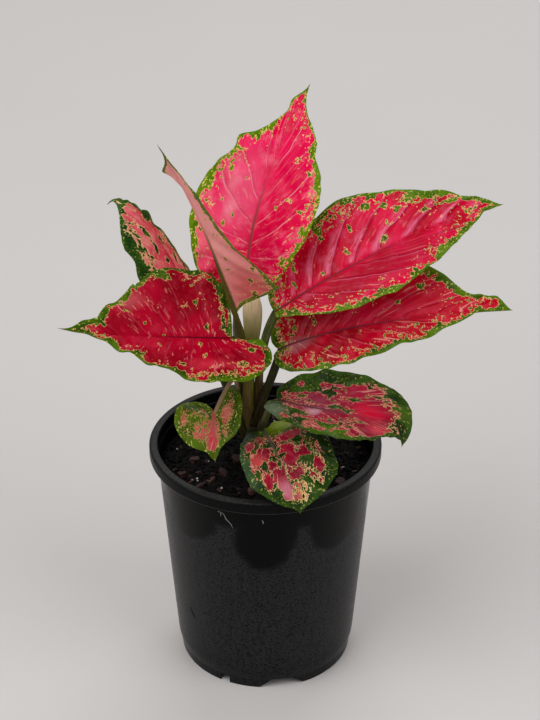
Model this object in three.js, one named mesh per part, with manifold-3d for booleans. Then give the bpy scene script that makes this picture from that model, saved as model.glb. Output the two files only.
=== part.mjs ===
// A Chinese evergreen with pink and red leaves in a black nursery pot.
// Millimetres, +Z up. The origin is the middle of the pot's flat underside, and -Y is the front.

import * as THREE from "three";
import { mergeVertices } from "three/addons/utils/BufferGeometryUtils.js";
import Module from "manifold-3d";

const wasm = await Module();
wasm.setup();

// Clearance between two pieces that touch in the real plant
const gap = 0.3;

// Pot: the sizes of a 140 mm nursery pot
const rimRadius = 70;
const potHeight = 146.8;
const wall = 1.0;
const floorThickness = 1.4;
const bandHeight = 7.3;
const lipThickness = 1.6;
const skirtThickness = 1.3;
const wallTopRadius = 65.8;
const wallLowRadius = 55.2;
const wallLowHeight = 12;
const footStepRadius = 53.9;
const footRadius = 53.1;
const footInset = 0.4;
const channelHeight = 6.3;
const channelOuter = 51.6;
const channelInner = 38;
const hubRadius = 36.4;
const potSides = 48;

// Drainage: wide notches and narrow slots through the foot, round holes in the floor
const notchCount = 3;
const notchAzimuth = 11;
const notchWidth = 30;
const notchTopWidth = 12.5;
const slotAzimuth = -28;
const slotWidth = 6.5;
const slotHeight = 5;
const holeRadius = 4;
const channelHoleCount = 9;
const hubHoleCount = 3;
const hubHoleDistance = 20;

// Soil: peat with bark chips and a few grains of perlite
const soilEdgeHeight = 131.5;
const soilMound = 3.5;
const soilRelief = 0.9;
const soilSides = potSides / 2;
const soilRings = 6;
const barkChips = 22;
const perliteGrains = 12;

// Cane: the short stem that the leaf stalks sit round
const cane = { x: -8, y: 4, bottom: 100, top: 155.7, radius: 5.1, topRadius: 4.7, sides: 14 };
const caneScars = [121, 131, 138.5, 144.5, 150];
const caneScarRise = 0.5;
const caneScarHalf = 0.9;

// Blades
const bladeRows = 18;
const bladeColumns = 4;
const bladeThickness = 0.9;
const keelDepth = 1.3;
const marginSplit = 0.42;
const stalkSides = 8;
const stalkRings = 11;
const keelReach = 18;
const stalkShare = 0.82;

// Each leaf: the route of its midrib from the stalk to the tip, which way the blade faces along it,
// the stalk's route up from the cane, and its two halves. A half's width, and how far its lobe
// reaches back past the stalk, are in millimetres; belly is where it is widest, as a share of the
// length; full and sharp shape the margin from there to the tip. Fold and curl are degrees, and a
// wave is its height, how many there are and where the first begins. A bump is a swelling or dip of
// the margin: its place as a share of the way to the tip, its size and how far it reaches.
const leaves = [
  {
    name: "leaf_top",
    rib: [[-10, 18, 253], [-9, 24, 288], [9, 38, 323], [26, 50, 355]],
    face: [[-0.05, -0.85, 0.5], [-0.1, -0.9, 0.4]],
    stalk: [[-8, 4, 156], [-10, 7, 198], [-4.5, 12, 230], [-10, 18, 253]],
    stalkRadii: [1.5, 2.4],
    sheath: { from: 0.35, widest: 0.74, to: 0.92, width: 3.4 },
    left: {
      width: 38, lobe: 12, belly: 0.2, full: 0.5, sharp: 0.4,
      fold: [22, 12], curl: -12, wave: [2, 2.2, 0.1],
      bumps: [[0.36, -2.5, 0.05], [0.64, -1, 0.03], [0.705, 4.4, 0.034], [0.94, 4, 0.045]],
    },
    right: {
      width: 35, lobe: 13, belly: 0.4, full: 0.55, sharp: 0.3,
      fold: [39, 16, 12], curl: -12, wave: [1, 2.2, 0.1],
      bumps: [[0.52, -1.5, 0.06], [0.62, -4, 0.05], [0.85, -1.2, 0.1]],
    },
  },
  {
    name: "leaf_new",
    rib: [[-16, -6, 236], [-28, -11, 275], [-40, -17, 315.5], [-58, -27, 349.5]],
    face: [[0.69, 0.72, 0], [0.9, 0.3, 0.3], [0.9, 0.17, 0.38]],
    stalk: [[-11.4, 4.6, 156], [-15, 4, 180], [-15.5, 0, 205], [-16, -6, 236]],
    stalkRadii: [1.6, 2.0],
    left: {
      width: 34, lobe: -6.5, belly: 0.16, full: 0.12, sharp: 0.5, bulge: 2.2,
      fold: [22, 30, 24], wave: [1, 2, 0],
      bumps: [[0.88, 4.5, 0.07]],
    },
    right: {
      width: 19, lobe: -4, belly: 0.12, full: 0.4, sharp: 0.35, bulge: 1.3,
      fold: [45, 30, 10, -60], curl: 40, wave: [1, 2, 0],
      bumps: [[0.88, 4, 0.05]],
    },
  },
  {
    name: "leaf_back",
    rib: [[-45, 34, 226], [-57, 46, 250], [-85, 62, 292], [-95, 64, 272]],
    face: [[-0.1, -0.7, 0.7], [-0.3, -0.6, 0.7]],
    stalk: [[-8, 5, 143], [-19, 14, 162], [-31, 20, 192], [-45, 34, 226]],
    stalkRadii: [2.4, 2.2],
    left: {
      width: 24, lobe: 8, belly: 0.3, full: 0.6, sharp: 0.25,
      fold: [15, 10],
      bumps: [[0.48, -3.5, 0.06]],
    },
    right: {
      width: 17, lobe: 8, belly: 0.3, full: 0.5, sharp: 0.35,
      fold: [60, 62], curl: 20,
      bumps: [[0.37, 8, 0.07], [0.6, -1.5, 0.12], [0.9, -3, 0.06]],
    },
  },
  {
    name: "leaf_left",
    rib: [[-19, -16, 225], [-45, -20, 228], [-80, -24, 230], [-118, -26, 237]],
    face: [[0, -0.6, 0.8]],
    stalk: [[-10.4, 1.2, 156], [-13, -3, 185], [-6, -13, 221], [-19, -16, 225]],
    stalkRadii: [1.6, 2.4],
    left: {
      width: 33, lobe: 28, belly: 0.08, full: 0.35, sharp: 0.45, bulge: 0.75,
      fold: [20, 15], curl: -10, wave: [2, 3, 0],
      bumps: [[0.1, -3, 0.06], [0.2, 1.5, 0.06], [0.69, 2.8, 0.03], [0.8, 3, 0.035]],
    },
    right: {
      width: 42, lobe: 0.5, belly: 0.3, full: 0.45, sharp: 0.45,
      fold: [20, 15], curl: -20, wave: [2, 3, 0],
      bumps: [[0.23, 4, 0.1], [0.56, 1, 0.03], [0.65, 2.5, 0.03], [0.79, 3.5, 0.035], [0.9, 2.5, 0.04]],
    },
  },
  {
    name: "leaf_right_upper",
    rib: [[6, 0, 234], [45, 10, 259], [95, 20, 280], [137, 22, 292]],
    face: [[-0.1, -0.7, 0.7]],
    stalk: [[-4.6, 4.8, 156], [-4.6, 7, 185], [-3, 0, 215], [6, 0, 234]],
    stalkRadii: [1.6, 2.5],
    left: {
      width: 35, lobe: 2, belly: 0.33, full: 0.77, sharp: 0.1, bulge: 0.3,
      fold: [-8, 14, 10], curl: -10, wave: [1, 3, 0],
      bumps: [[0.46, 4, 0.04], [0.62, -3.5, 0.04], [0.73, -3.7, 0.06]],
    },
    right: {
      width: 27, lobe: 4, belly: 0.42, full: 0.55, sharp: 0.25, bulge: -0.6,
      fold: [15, 10],
      bumps: [[0.23, -5.5, 0.09], [0.45, 1.4, 0.05], [0.89, -2, 0.04]],
    },
  },
  {
    name: "leaf_right_lower",
    rib: [[9, 8, 205], [40, 4, 223], [96, -2, 234], [142, -10, 240]],
    face: [[0, -0.7, 0.7]],
    stalk: [[-6.2, 0.6, 156], [-4.2, -1.5, 172], [4, 2, 186], [9, 8, 205]],
    stalkRadii: [1.6, 2.6],
    left: {
      width: 34, lobe: 6, belly: 0.5, full: 0.8, sharp: 0.1,
      fold: [15, 10], curl: -10, wave: [1.5, 3, 0.3],
      bumps: [[0.63, -12, 0.09], [0.74, -3, 0.05]],
    },
    right: {
      width: 23, lobe: 8, belly: 0.25, full: 0.4, sharp: 0.3,
      fold: [15, 10],
      bumps: [[0.6, -1.5, 0.03], [0.7, 2.5, 0.035], [0.9, -4, 0.06]],
    },
  },
  {
    name: "leaf_right_low",
    rib: [[8, -26, 190], [34, -45, 192], [84, -62, 201], [76, -70, 185]],
    face: [[0, -0.5, 0.85], [0.1, -0.5, 0.85]],
    stalk: [[-7, 3, 142], [0, -5, 158], [0, -16, 182], [8, -26, 190]],
    stalkRadii: [2.2, 2.2],
    left: {
      width: 25, lobe: 6, belly: 0.5, full: 0.7, sharp: 0.2,
      fold: [12, 8], curl: -10,
      bumps: [[0.36, 1.8, 0.12], [0.7, 3.5, 0.12]],
    },
    right: {
      width: 22, lobe: 9, belly: 0.5, full: 0.6, sharp: 0.2,
      fold: [12, 8],
      bumps: [[0.32, -4, 0.1], [0.5, -2.5, 0.08]],
    },
  },
  {
    name: "leaf_front",
    rib: [[-1, -20, 165], [3, -42, 172], [13, -62, 165], [20, -76, 144]],
    face: [[0, -0.4, 0.9], [0, -0.8, 0.6]],
    stalk: [[-9, 3, 139], [-12, -9, 149], [-6, -16, 160], [-1, -20, 165]],
    stalkRadii: [2.2, 2.2],
    left: {
      width: 33, lobe: 10, belly: 0.6, full: 0.7, sharp: 0.2,
      fold: [12, 10], curl: -10,
      bumps: [[0.44, -3, 0.08], [0.78, 1.5, 0.08]],
    },
    right: {
      width: 23, lobe: 12, belly: 0.5, full: 0.65, sharp: 0.2,
      fold: [-16, 6, 10], curl: -10,
      bumps: [[0.33, -2.5, 0.1], [0.78, 1.5, 0.08]],
    },
  },
  {
    name: "leaf_small",
    rib: [[-30, -18, 176], [-30, -26, 173], [-30, -33, 164], [-29, -36, 153]],
    face: [[0, -0.6, 0.8], [0, -0.9, 0.4]],
    stalk: [[-9, 3, 139], [-22, 2, 170], [-9.3, -6, 220], [-30, -18, 176]],
    stalkRadii: [1.9, 1.2],
    left: {
      width: 17, lobe: 20.5, belly: 0.3, full: 0.5, sharp: 0.3,
      fold: [15, 10], curl: -10,
      bumps: [[0.07, 3.8, 0.07], [0.28, 2, 0.09], [0.46, -1.2, 0.06], [0.65, -5.4, 0.16]],
    },
    right: {
      width: 24, lobe: 8, belly: 0.3, full: 0.5, sharp: 0.3,
      fold: [15, 10], curl: -10,
      bumps: [[0.06, 1.2, 0.05], [0.28, 1.2, 0.08], [0.45, -1, 0.06], [0.55, -2, 0.1], [0.77, -3, 0.08]],
    },
  },
];

const materials = {
  leaf: new THREE.MeshStandardMaterial({ color: 0xa51536, roughness: 0.42, metalness: 0 }),
  cane: new THREE.MeshStandardMaterial({ color: 0x4c5a2c, roughness: 0.6, metalness: 0 }),
  soil: new THREE.MeshStandardMaterial({ color: 0x2a1d16, roughness: 0.95, metalness: 0 }),
  pot: new THREE.MeshStandardMaterial({ color: 0x121213, roughness: 0.38, metalness: 0 }),
};

// A run of draws between 0 and 1 that is the same every time
function seededDraws(seed) {
  let state = seed;
  return () => {
    state = (Math.imul(state, 1664525) + 1013904223) >>> 0;
    return state / 4294967296;
  };
}

// A closed geometry as a solid that can be joined and cut
function toSolid(geometry) {
  geometry.deleteAttribute("normal");
  geometry.deleteAttribute("uv");
  const welded = mergeVertices(geometry, 1e-4);
  const index = welded.index.array;
  const kept = [];
  for (let i = 0; i < index.length; i += 3) {
    const [a, b, c] = [index[i], index[i + 1], index[i + 2]];
    if (a !== b && b !== c && c !== a) {
      kept.push(a, b, c);
    }
  }
  const vertProperties = new Float32Array(welded.attributes.position.array);
  return new wasm.Manifold(new wasm.Mesh({ numProp: 3, vertProperties, triVerts: new Uint32Array(kept) }));
}

function toGeometry(solid) {
  const { vertProperties, triVerts } = solid.getMesh();
  const geometry = new THREE.BufferGeometry();
  geometry.setAttribute("position", new THREE.BufferAttribute(new Float32Array(vertProperties), 3));
  geometry.setIndex(new THREE.BufferAttribute(new Uint32Array(triVerts), 1));
  geometry.computeVertexNormals();
  return geometry;
}

// The main body of a cut solid, without the scraps that a cut can leave
function mainBody(solid) {
  return solid.decompose().reduce((best, body) => (body.volume() > best.volume() ? body : best));
}

function lathe(profile, sides) {
  const points = profile.map(([radius, height]) => new THREE.Vector2(radius, height));
  return new THREE.LatheGeometry(points, sides).rotateX(Math.PI / 2);
}

function uprightCylinder(radius, bottom, top, sides, x = 0, y = 0) {
  const cylinder = new THREE.CylinderGeometry(radius, radius, top - bottom, sides);
  return cylinder.rotateX(Math.PI / 2).translate(x, y, (top + bottom) / 2);
}

// Radius of the wall's outer face at a height above the foot
function wallRadius(height) {
  const share = (height - wallLowHeight) / (potHeight - wallLowHeight);
  return wallLowRadius + share * (wallTopRadius - wallLowRadius);
}

// A prism through the foot ring at an azimuth counted from the front towards +X
function footCut(azimuth, bottomWidth, topWidth, height) {
  const outline = new THREE.Shape([
    new THREE.Vector2(-bottomWidth / 2, -1),
    new THREE.Vector2(bottomWidth / 2, -1),
    new THREE.Vector2(topWidth / 2, height),
    new THREE.Vector2(-topWidth / 2, height),
  ]);
  const reach = 14;
  const prism = new THREE.ExtrudeGeometry(outline, { depth: reach, bevelEnabled: false });
  prism.rotateX(Math.PI / 2);
  prism.translate(0, -(channelOuter - reach / 2), 0);
  return prism.rotateZ(THREE.MathUtils.degToRad(azimuth));
}

function makePot() {
  const bandBottom = potHeight - bandHeight;
  const underLip = potHeight - lipThickness;
  const innerTop = wallTopRadius - wall;
  const innerLow = wallLowRadius - wall;
  const profile = [
    [0, 0],
    [hubRadius, 0],
    [channelInner, channelHeight],
    [channelOuter, channelHeight],
    [channelOuter, 0],
    [footRadius, 0],
    [footStepRadius - footInset, channelHeight],
    [footStepRadius, channelHeight + 0.01],
    [wallLowRadius, wallLowHeight],
    [wallRadius(underLip), underLip],
    [rimRadius - skirtThickness, underLip],
    [rimRadius - skirtThickness, bandBottom],
    [rimRadius - 0.3, bandBottom],
    [rimRadius, bandBottom + 0.5],
    [rimRadius, potHeight - 0.8],
    [rimRadius - 0.8, potHeight],
    [innerTop + 0.5, potHeight],
    [innerTop, potHeight - 0.5],
    [innerLow, wallLowHeight],
    [footStepRadius - wall, channelHeight + floorThickness],
    [channelInner - 0.5, channelHeight + floorThickness],
    [hubRadius - 0.9, floorThickness],
    [0, floorThickness],
  ];
  let pot = toSolid(lathe(profile, potSides));
  for (let i = 0; i < notchCount; i += 1) {
    const turn = (360 / notchCount) * i;
    pot = pot.subtract(toSolid(footCut(notchAzimuth + turn, notchWidth, notchTopWidth, channelHeight)));
    pot = pot.subtract(toSolid(footCut(slotAzimuth + turn, slotWidth, slotWidth, slotHeight)));
  }
  const drill = (distance, count) => {
    for (let i = 0; i < count; i += 1) {
      const angle = (2 * Math.PI * (i + 0.5)) / count;
      const [x, y] = [distance * Math.cos(angle), distance * Math.sin(angle)];
      const drillTop = channelHeight + 2 * floorThickness;
      pot = pot.subtract(toSolid(uprightCylinder(holeRadius, -1, drillTop, 12, x, y)));
    }
  };
  drill((channelInner + channelOuter) / 2, channelHoleCount);
  drill(hubHoleDistance, hubHoleCount);
  return mainBody(pot);
}

// Height of the soil's surface: a slight mound with low lumps that die out at the wall
function soilHeight(x, y) {
  const edge = wallRadius(soilEdgeHeight) - wall - gap;
  const share = Math.min(1, Math.hypot(x, y) / edge);
  const lumps = Math.sin(0.31 * x + 1.1) * Math.cos(0.27 * y - 0.4) + 0.6 * Math.sin(0.53 * y + 0.21 * x);
  return soilEdgeHeight + soilMound * (1 - share * share) + soilRelief * lumps * (1 - share ** 6);
}

// One bark chip: a broken slab, lying at a slant and sunk by a third
function barkChip(draw) {
  const size = [4.5 + 5 * draw(), 3 + 2.5 * draw(), 1.8 + 1.4 * draw()];
  const chip = new THREE.BoxGeometry(...size);
  const spot = chip.attributes.position;
  const narrow = 0.45 + 0.4 * draw();
  for (let i = 0; i < spot.count; i += 1) {
    if (spot.getX(i) > 0) {
      spot.setY(i, spot.getY(i) * narrow);
    }
  }
  return chip.rotateX(0.5 * (draw() - 0.5)).rotateY(0.7 * (draw() - 0.5)).rotateZ(2 * Math.PI * draw());
}

function makeSoil() {
  const inner = (height) => wallRadius(height) - wall - gap;
  const floor = floorThickness + gap;
  const profile = [
    [0, floor],
    [hubRadius - 1.4, floor],
    [channelInner - 1, channelHeight + floor],
    [footStepRadius - wall - gap, channelHeight + floor],
    [wallLowRadius - wall - gap, wallLowHeight],
  ];
  const edge = inner(soilEdgeHeight);
  for (let ring = soilRings; ring >= 0; ring -= 1) {
    profile.push([(edge * ring) / soilRings, soilEdgeHeight]);
  }
  const body = lathe(profile, soilSides);
  const spot = body.attributes.position;
  for (let i = 0; i < spot.count; i += 1) {
    if (spot.getZ(i) > soilEdgeHeight - 0.01) {
      spot.setZ(i, soilHeight(spot.getX(i), spot.getY(i)));
    }
  }
  let soil = toSolid(body);
  const draw = seededDraws(17);
  const scatter = (count, make, sunk, reach) => {
    for (let placed = 0; placed < count;) {
      const distance = reach * Math.sqrt(draw());
      const angle = 2 * Math.PI * draw();
      const [x, y] = [distance * Math.cos(angle), distance * Math.sin(angle)];
      const piece = make(draw);
      if (Math.hypot(x - cane.x, y - cane.y) > cane.radius + 7) {
        soil = soil.add(toSolid(piece.translate(x, y, soilHeight(x, y) + sunk)));
        placed += 1;
      }
    }
  };
  scatter(barkChips, barkChip, 0.4, edge - 6);
  scatter(perliteGrains, () => new THREE.OctahedronGeometry(1.1 + 0.7 * draw()), 0.2, edge - 3);
  const holeSize = cane.radius + caneScarRise + gap;
  const hole = uprightCylinder(holeSize, cane.bottom - gap, potHeight, 16, cane.x, cane.y);
  return mainBody(soil.subtract(toSolid(hole)));
}

function makeCane(clearance = 0) {
  const radiusAt = (z) => {
    const share = (z - cane.bottom) / (cane.top - cane.bottom);
    return cane.radius + share * (cane.topRadius - cane.radius) + clearance;
  };
  const profile = [[0, cane.bottom - clearance], [radiusAt(cane.bottom), cane.bottom - clearance]];
  for (const scar of caneScars) {
    profile.push([radiusAt(scar - caneScarHalf), scar - caneScarHalf]);
    profile.push([radiusAt(scar) + caneScarRise, scar]);
    profile.push([radiusAt(scar + caneScarHalf), scar + caneScarHalf]);
  }
  profile.push([radiusAt(cane.top), cane.top + clearance], [0, cane.top + clearance]);
  return toSolid(lathe(profile, cane.sides).translate(cane.x, cane.y, 0));
}

// Value at a share of a blade's length, from a number or a list spread evenly along it
function along(values, share) {
  if (!Array.isArray(values)) {
    return values;
  }
  const place = THREE.MathUtils.clamp(share, 0, 1) * (values.length - 1);
  const i = Math.min(Math.floor(place), Math.max(values.length - 2, 0));
  return THREE.MathUtils.lerp(values[i], values[Math.min(i + 1, values.length - 1)], place - i);
}

// Where the midrib runs at a distance along it, with the blade's facing and sideways directions
function ribFrame(leaf, distance) {
  const share = THREE.MathUtils.clamp(distance / leaf.length, 0, 1);
  const centre = leaf.curve.getPointAt(share);
  const forward = leaf.curve.getTangentAt(share);
  centre.addScaledVector(forward, Math.min(distance, 0));
  const faceOn = (axis) => along(leaf.face.map((direction) => direction[axis]), share);
  const facing = new THREE.Vector3(faceOn(0), faceOn(1), faceOn(2));
  facing.addScaledVector(forward, -facing.dot(forward)).normalize();
  const sideways = new THREE.Vector3().crossVectors(forward, facing);
  return { centre, forward, facing, sideways };
}

// The flat margin of a half, from the stalk round its lobe to the widest place and on to the tip
function marginOf(half, length) {
  const { width, lobe, belly, full, sharp, bulge = 1.2, bumps = [] } = half;
  const widest = belly * length;
  const rest = length - widest;
  const point = (x, y) => new THREE.Vector2(x, y);
  const round = new THREE.CubicBezierCurve(
    point(0, 0), point(-1.35 * lobe, 0.02 * width), point(-bulge * lobe, width), point(widest, width));
  const taper = new THREE.CubicBezierCurve(
    point(widest, width), point(widest + full * rest, width), point(length - sharp * rest, 0.03 * width),
    point(length, 0));
  return (share) => {
    const edge = share < marginSplit
      ? round.getPoint(share / marginSplit)
      : taper.getPoint((share - marginSplit) / (1 - marginSplit));
    const free = Math.min(1, 12 * share, 12 * (1 - share));
    for (const [place, change, reach] of bumps) {
      edge.y += free * change * Math.exp(-(((share - place) / reach) ** 2));
    }
    edge.y = Math.max(edge.y, 0);
    return edge;
  };
}

// A point of the blade's middle surface: vein is its side vein's share of the way from stalk to tip,
// and out is its share of the way from midrib to margin
function bladePoint(leaf, half, sign, vein, out) {
  const edge = half.margin(vein);
  const root = leaf.length * vein ** 1.9;
  const x = root + (edge.x - root) * out ** 1.25;
  const y = edge.y * out;
  const { centre, facing, sideways } = ribFrame(leaf, x);
  const share = x / leaf.length;
  const fold = THREE.MathUtils.degToRad(along(half.fold, share));
  const bend = THREE.MathUtils.degToRad(half.curl || 0.001) / half.width;
  const angle = fold + bend * y;
  const lateral = (Math.sin(angle) - Math.sin(fold)) / bend;
  const height = (Math.cos(fold) - Math.cos(angle)) / bend;
  const normal = facing.clone().multiplyScalar(Math.cos(angle));
  normal.addScaledVector(sideways, -sign * Math.sin(angle));
  const [rise, waves, start] = half.wave ?? [0, 0, 0];
  const ripple = rise * (y / half.width) ** 2 * Math.sin(2 * Math.PI * (waves * share + start));
  const point = centre.clone().addScaledVector(sideways, sign * lateral).addScaledVector(facing, height);
  point.addScaledVector(normal, ripple);
  const shared = out === 0 || vein === 0 || vein === 1;
  return { point, normal: shared ? facing : normal };
}

// The blade as a closed sheet, with a keel under its midrib, split alike on both faces
function bladeSolid(leaf) {
  const across = 2 * bladeColumns + 1;
  const corners = [];
  for (let row = 0; row <= bladeRows; row += 1) {
    for (let column = -bladeColumns; column <= bladeColumns; column += 1) {
      const out = Math.abs(column) / bladeColumns;
      const half = column < 0 ? leaf.left : leaf.right;
      const { point, normal } = bladePoint(leaf, half, Math.sign(column) || 1, row / bladeRows, out);
      const keel = keelDepth * (1 - out) ** 4 * (1 - row / bladeRows);
      corners.push(point.clone().addScaledVector(normal, bladeThickness / 2));
      corners.push(point.clone().addScaledVector(normal, -bladeThickness / 2 - keel));
    }
  }
  const upper = (row, column) => 2 * (row * across + column);
  const lower = (row, column) => upper(row, column) + 1;
  const index = [];
  const quad = (a, b, c, d) => index.push(a, b, c, b, d, c);
  for (let row = 0; row < bladeRows; row += 1) {
    for (let column = 0; column < across - 1; column += 1) {
      const ends = [[row, column], [row, column + 1], [row + 1, column], [row + 1, column + 1]];
      quad(...ends.map(([r, c]) => upper(r, c)));
      const [a, b, c, d] = ends.map(([r, k]) => lower(r, k));
      index.push(a, c, b, b, c, d);
    }
    quad(upper(row, 0), upper(row + 1, 0), lower(row, 0), lower(row + 1, 0));
    const last = across - 1;
    quad(upper(row, last), lower(row, last), upper(row + 1, last), lower(row + 1, last));
  }
  const sheet = new THREE.BufferGeometry().setFromPoints(corners);
  sheet.setIndex(index);
  return toSolid(sheet);
}

// How far a stalk's sheath stands out on each side at a share of the stalk
function sheathWidth(leaf, share) {
  if (!leaf.sheath) {
    return 0;
  }
  const { from, widest, to, width } = leaf.sheath;
  const rise = THREE.MathUtils.smoothstep(share, from, widest);
  return width * rise * (1 - THREE.MathUtils.smoothstep(share, widest, to));
}

// The stalk, drawn up from the cane and on as a fading keel under the midrib
function stalkSolid(leaf) {
  const route = new THREE.CubicBezierCurve3(...leaf.stalk.map((p) => new THREE.Vector3(...p)));
  const [baseRadius, topRadius] = leaf.stalkRadii;
  const away = new THREE.Vector3(...leaf.face[0]);
  const tube = new THREE.CylinderGeometry(1, 1, 1, stalkSides, stalkRings);
  const spot = tube.attributes.position;
  for (let i = 0; i < spot.count; i += 1) {
    const share = spot.getY(i) + 0.5;
    let centre;
    let forward;
    let radius;
    if (share <= stalkShare) {
      const up = share / stalkShare;
      centre = route.getPointAt(up);
      forward = route.getTangentAt(up);
      radius = THREE.MathUtils.lerp(baseRadius, topRadius, Math.min(1, 1.6 * up));
      const { facing } = ribFrame(leaf, 0);
      centre.addScaledVector(facing, -0.75 * topRadius * up ** 8);
    } else {
      const on = (share - stalkShare) / (1 - stalkShare);
      const frame = ribFrame(leaf, on * keelReach);
      radius = topRadius * (1 - 0.7 * on);
      centre = frame.centre.addScaledVector(frame.facing, -0.75 * radius - 0.2);
      forward = frame.forward;
    }
    const facing = away.clone().addScaledVector(forward, -away.dot(forward)).normalize();
    const sideways = new THREE.Vector3().crossVectors(forward, facing);
    const across = radius + sheathWidth(leaf, share / stalkShare);
    centre.addScaledVector(sideways, across * spot.getX(i)).addScaledVector(facing, radius * spot.getZ(i));
    spot.setXYZ(i, centre.x, centre.y, centre.z);
  }
  return toSolid(tube);
}

function makeLeaf(description) {
  const leaf = { ...description };
  leaf.curve = new THREE.CubicBezierCurve3(...leaf.rib.map((p) => new THREE.Vector3(...p)));
  leaf.curve.arcLengthDivisions = 400;
  leaf.length = leaf.curve.getLength();
  leaf.left = { ...leaf.left, margin: marginOf(leaf.left, leaf.length) };
  leaf.right = { ...leaf.right, margin: marginOf(leaf.right, leaf.length) };
  const whole = bladeSolid(leaf).add(stalkSolid(leaf));
  return mainBody(whole.subtract(makeCane(gap)));
}

const plant = new THREE.Group();

function place(name, solid, material) {
  const mesh = new THREE.Mesh(toGeometry(solid), material);
  mesh.name = name;
  plant.add(mesh);
}

place("pot", makePot(), materials.pot);
place("soil", makeSoil(), materials.soil);
place("cane", makeCane(), materials.cane);
for (const leaf of leaves) {
  place(leaf.name, makeLeaf(leaf), materials.leaf);
}

export default plant;
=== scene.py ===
import math
from dataclasses import dataclass
from functools import lru_cache
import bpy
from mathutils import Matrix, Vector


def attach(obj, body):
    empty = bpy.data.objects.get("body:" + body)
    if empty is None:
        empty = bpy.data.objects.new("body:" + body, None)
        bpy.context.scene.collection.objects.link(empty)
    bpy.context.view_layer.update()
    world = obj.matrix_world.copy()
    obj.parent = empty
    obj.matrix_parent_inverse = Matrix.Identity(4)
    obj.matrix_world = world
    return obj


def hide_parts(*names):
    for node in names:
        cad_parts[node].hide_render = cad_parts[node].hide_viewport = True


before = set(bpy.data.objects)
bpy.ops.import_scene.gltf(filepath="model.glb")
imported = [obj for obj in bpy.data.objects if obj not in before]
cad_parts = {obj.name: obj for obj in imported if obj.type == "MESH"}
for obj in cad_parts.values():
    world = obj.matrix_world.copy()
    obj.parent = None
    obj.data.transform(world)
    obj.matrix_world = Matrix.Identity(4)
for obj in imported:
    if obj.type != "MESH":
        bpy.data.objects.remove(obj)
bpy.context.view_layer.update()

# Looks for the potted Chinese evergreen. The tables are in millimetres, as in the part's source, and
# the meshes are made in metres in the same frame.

from types import SimpleNamespace

import bmesh
import bpy
import numpy as np

MM = 0.001

# The pot's sizes
POT_HEIGHT = 146.8
RIM_RADIUS = 70.0
WALL = 1.0
WALL_TOP_RADIUS = 65.8
WALL_LOW_RADIUS = 55.2
WALL_LOW_HEIGHT = 12.0
LIP_BOTTOM = 145.2
BAND_BOTTOM = 139.5
BAND_INNER = 68.7
FOOT_STEP_RADIUS = 53.9
FOOT_RADIUS = 53.1
CHANNEL_HEIGHT = 6.3
CHANNEL_OUTER = 51.6
CHANNEL_INNER = 38.0
HUB_RADIUS = 36.4
FLOOR = 1.4
POT_SIDES = 168

# Cuts through the foot and floor. Notches and slots have an azimuth from the front and an outline
# (across, height), and go from near to far out from the middle. Rings of holes have a distance from
# the middle and a count.
CUTS_AROUND = 3
NOTCH_AZIMUTH = 11
NOTCH = [(-15, -1), (15, -1), (7.4, 5.4), (6.2, 6.3), (-6.2, 6.3), (-7.4, 5.4)]
SLOT_AZIMUTH = -28
SLOT = [(-3.25, -1), (3.25, -1), (3.25, 4.4), (2.6, 5), (-2.6, 5), (-3.25, 4.4)]
CUT_NEAR, CUT_FAR = 44.6, 58.6
HOLE_RINGS = ((44.8, 9), (20, 3))
HOLE_RADIUS = 4
HOLE_SIDES = 32

# Painted dark reflections of the leaves on the upper wall, as lobes where the pot's dust film stops under
# the bare upper wall: how far round from the front, and the reach round and down
LEAF_REFLECTION_LOBES = ((0, 20, 33), (-52, 24, 21), (48, 24, 27), (99, 22, 30), (150, 26, 22), (200, 22, 32),
               (246, 24, 24))
LOBE_HEIGHT = 126

# Lint threads on the wall: places (degrees round from the front, height), radius and kind
LINT = (
    (((-25, 134.5), (-23, 134.6), (-21.4, 133), (-20.6, 130.5), (-19, 128.6), (-17.8, 127),
      (-17.2, 124.6)), 0.24, 0),
    (((-24.5, 135.6), (-23.2, 133.4), (-23.6, 131.4)), 0.18, 0),
    (((-1.6, 132.4), (-1, 131), (-1.2, 129.6)), 0.26, 0),
    (((-52.5, 48), (-51, 45), (-49, 42.6), (-48.6, 41)), 0.22, 1),
)

# The soil, with its outline (radius, height) under the rough top, and the cane that stands in it
SOIL_EDGE_HEIGHT = 131.5
SOIL_EDGE_RADIUS = 63.3
SOIL_UNDERSIDE = [(0, 1.7), (35, 1.7), (37, 8), (52.6, 8), (53.9, 12)]
SOIL_SIDES, SOIL_RINGS = 168, 66
CHIPS, GRAINS, SMALL_CHIPS, CRUMBS, SPECKS, FIBRES = 22, 12, 70, 2600, 34, 60
FIBRE_LIMIT = 61.5
ANY_ANGLE = (0, 6.28)
CANE_X, CANE_Y = -8.0, 4.0
CANE_BOTTOM, CANE_TOP = 100.0, 155.7
CANE_RADIUS, CANE_TOP_RADIUS = 5.1, 4.7
CANE_SCARS = (121.0, 131.0, 138.5, 144.5, 150.0)

# Blades and stalks: their grids, where the margin's lobe meets its taper, and the midrib's groove above
# and ridge below
ROWS = 180
COLUMNS = np.array([
    0, 0.012, 0.028, 0.048, 0.075, 0.105, 0.14, 0.18, 0.22, 0.26, 0.30, 0.34, 0.38, 0.42, 0.46, 0.50,
    0.54, 0.58, 0.62, 0.66, 0.70, 0.74, 0.78, 0.82, 0.86, 0.90, 0.935, 0.962, 0.982, 0.993, 1.0,
])
LEAF_THICKNESS = 0.5
MARGIN_SPLIT = 0.42
MARGIN_SAMPLES = 900
RIB_SAMPLES = 801
GROOVE_DEPTH, GROOVE_WIDTH = 0.42, 0.95
RIDGE_DEPTH, RIDGE_WIDTH = 1.15, 1.5
STALK_SAMPLES = 401
STALK_SIDES = 26
STALK_RINGS = 64

# The stalk goes on under the midrib as a keel, up to this share of the midrib's length
KEEL_RINGS = 26
KEEL_REACH = 0.42


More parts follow.
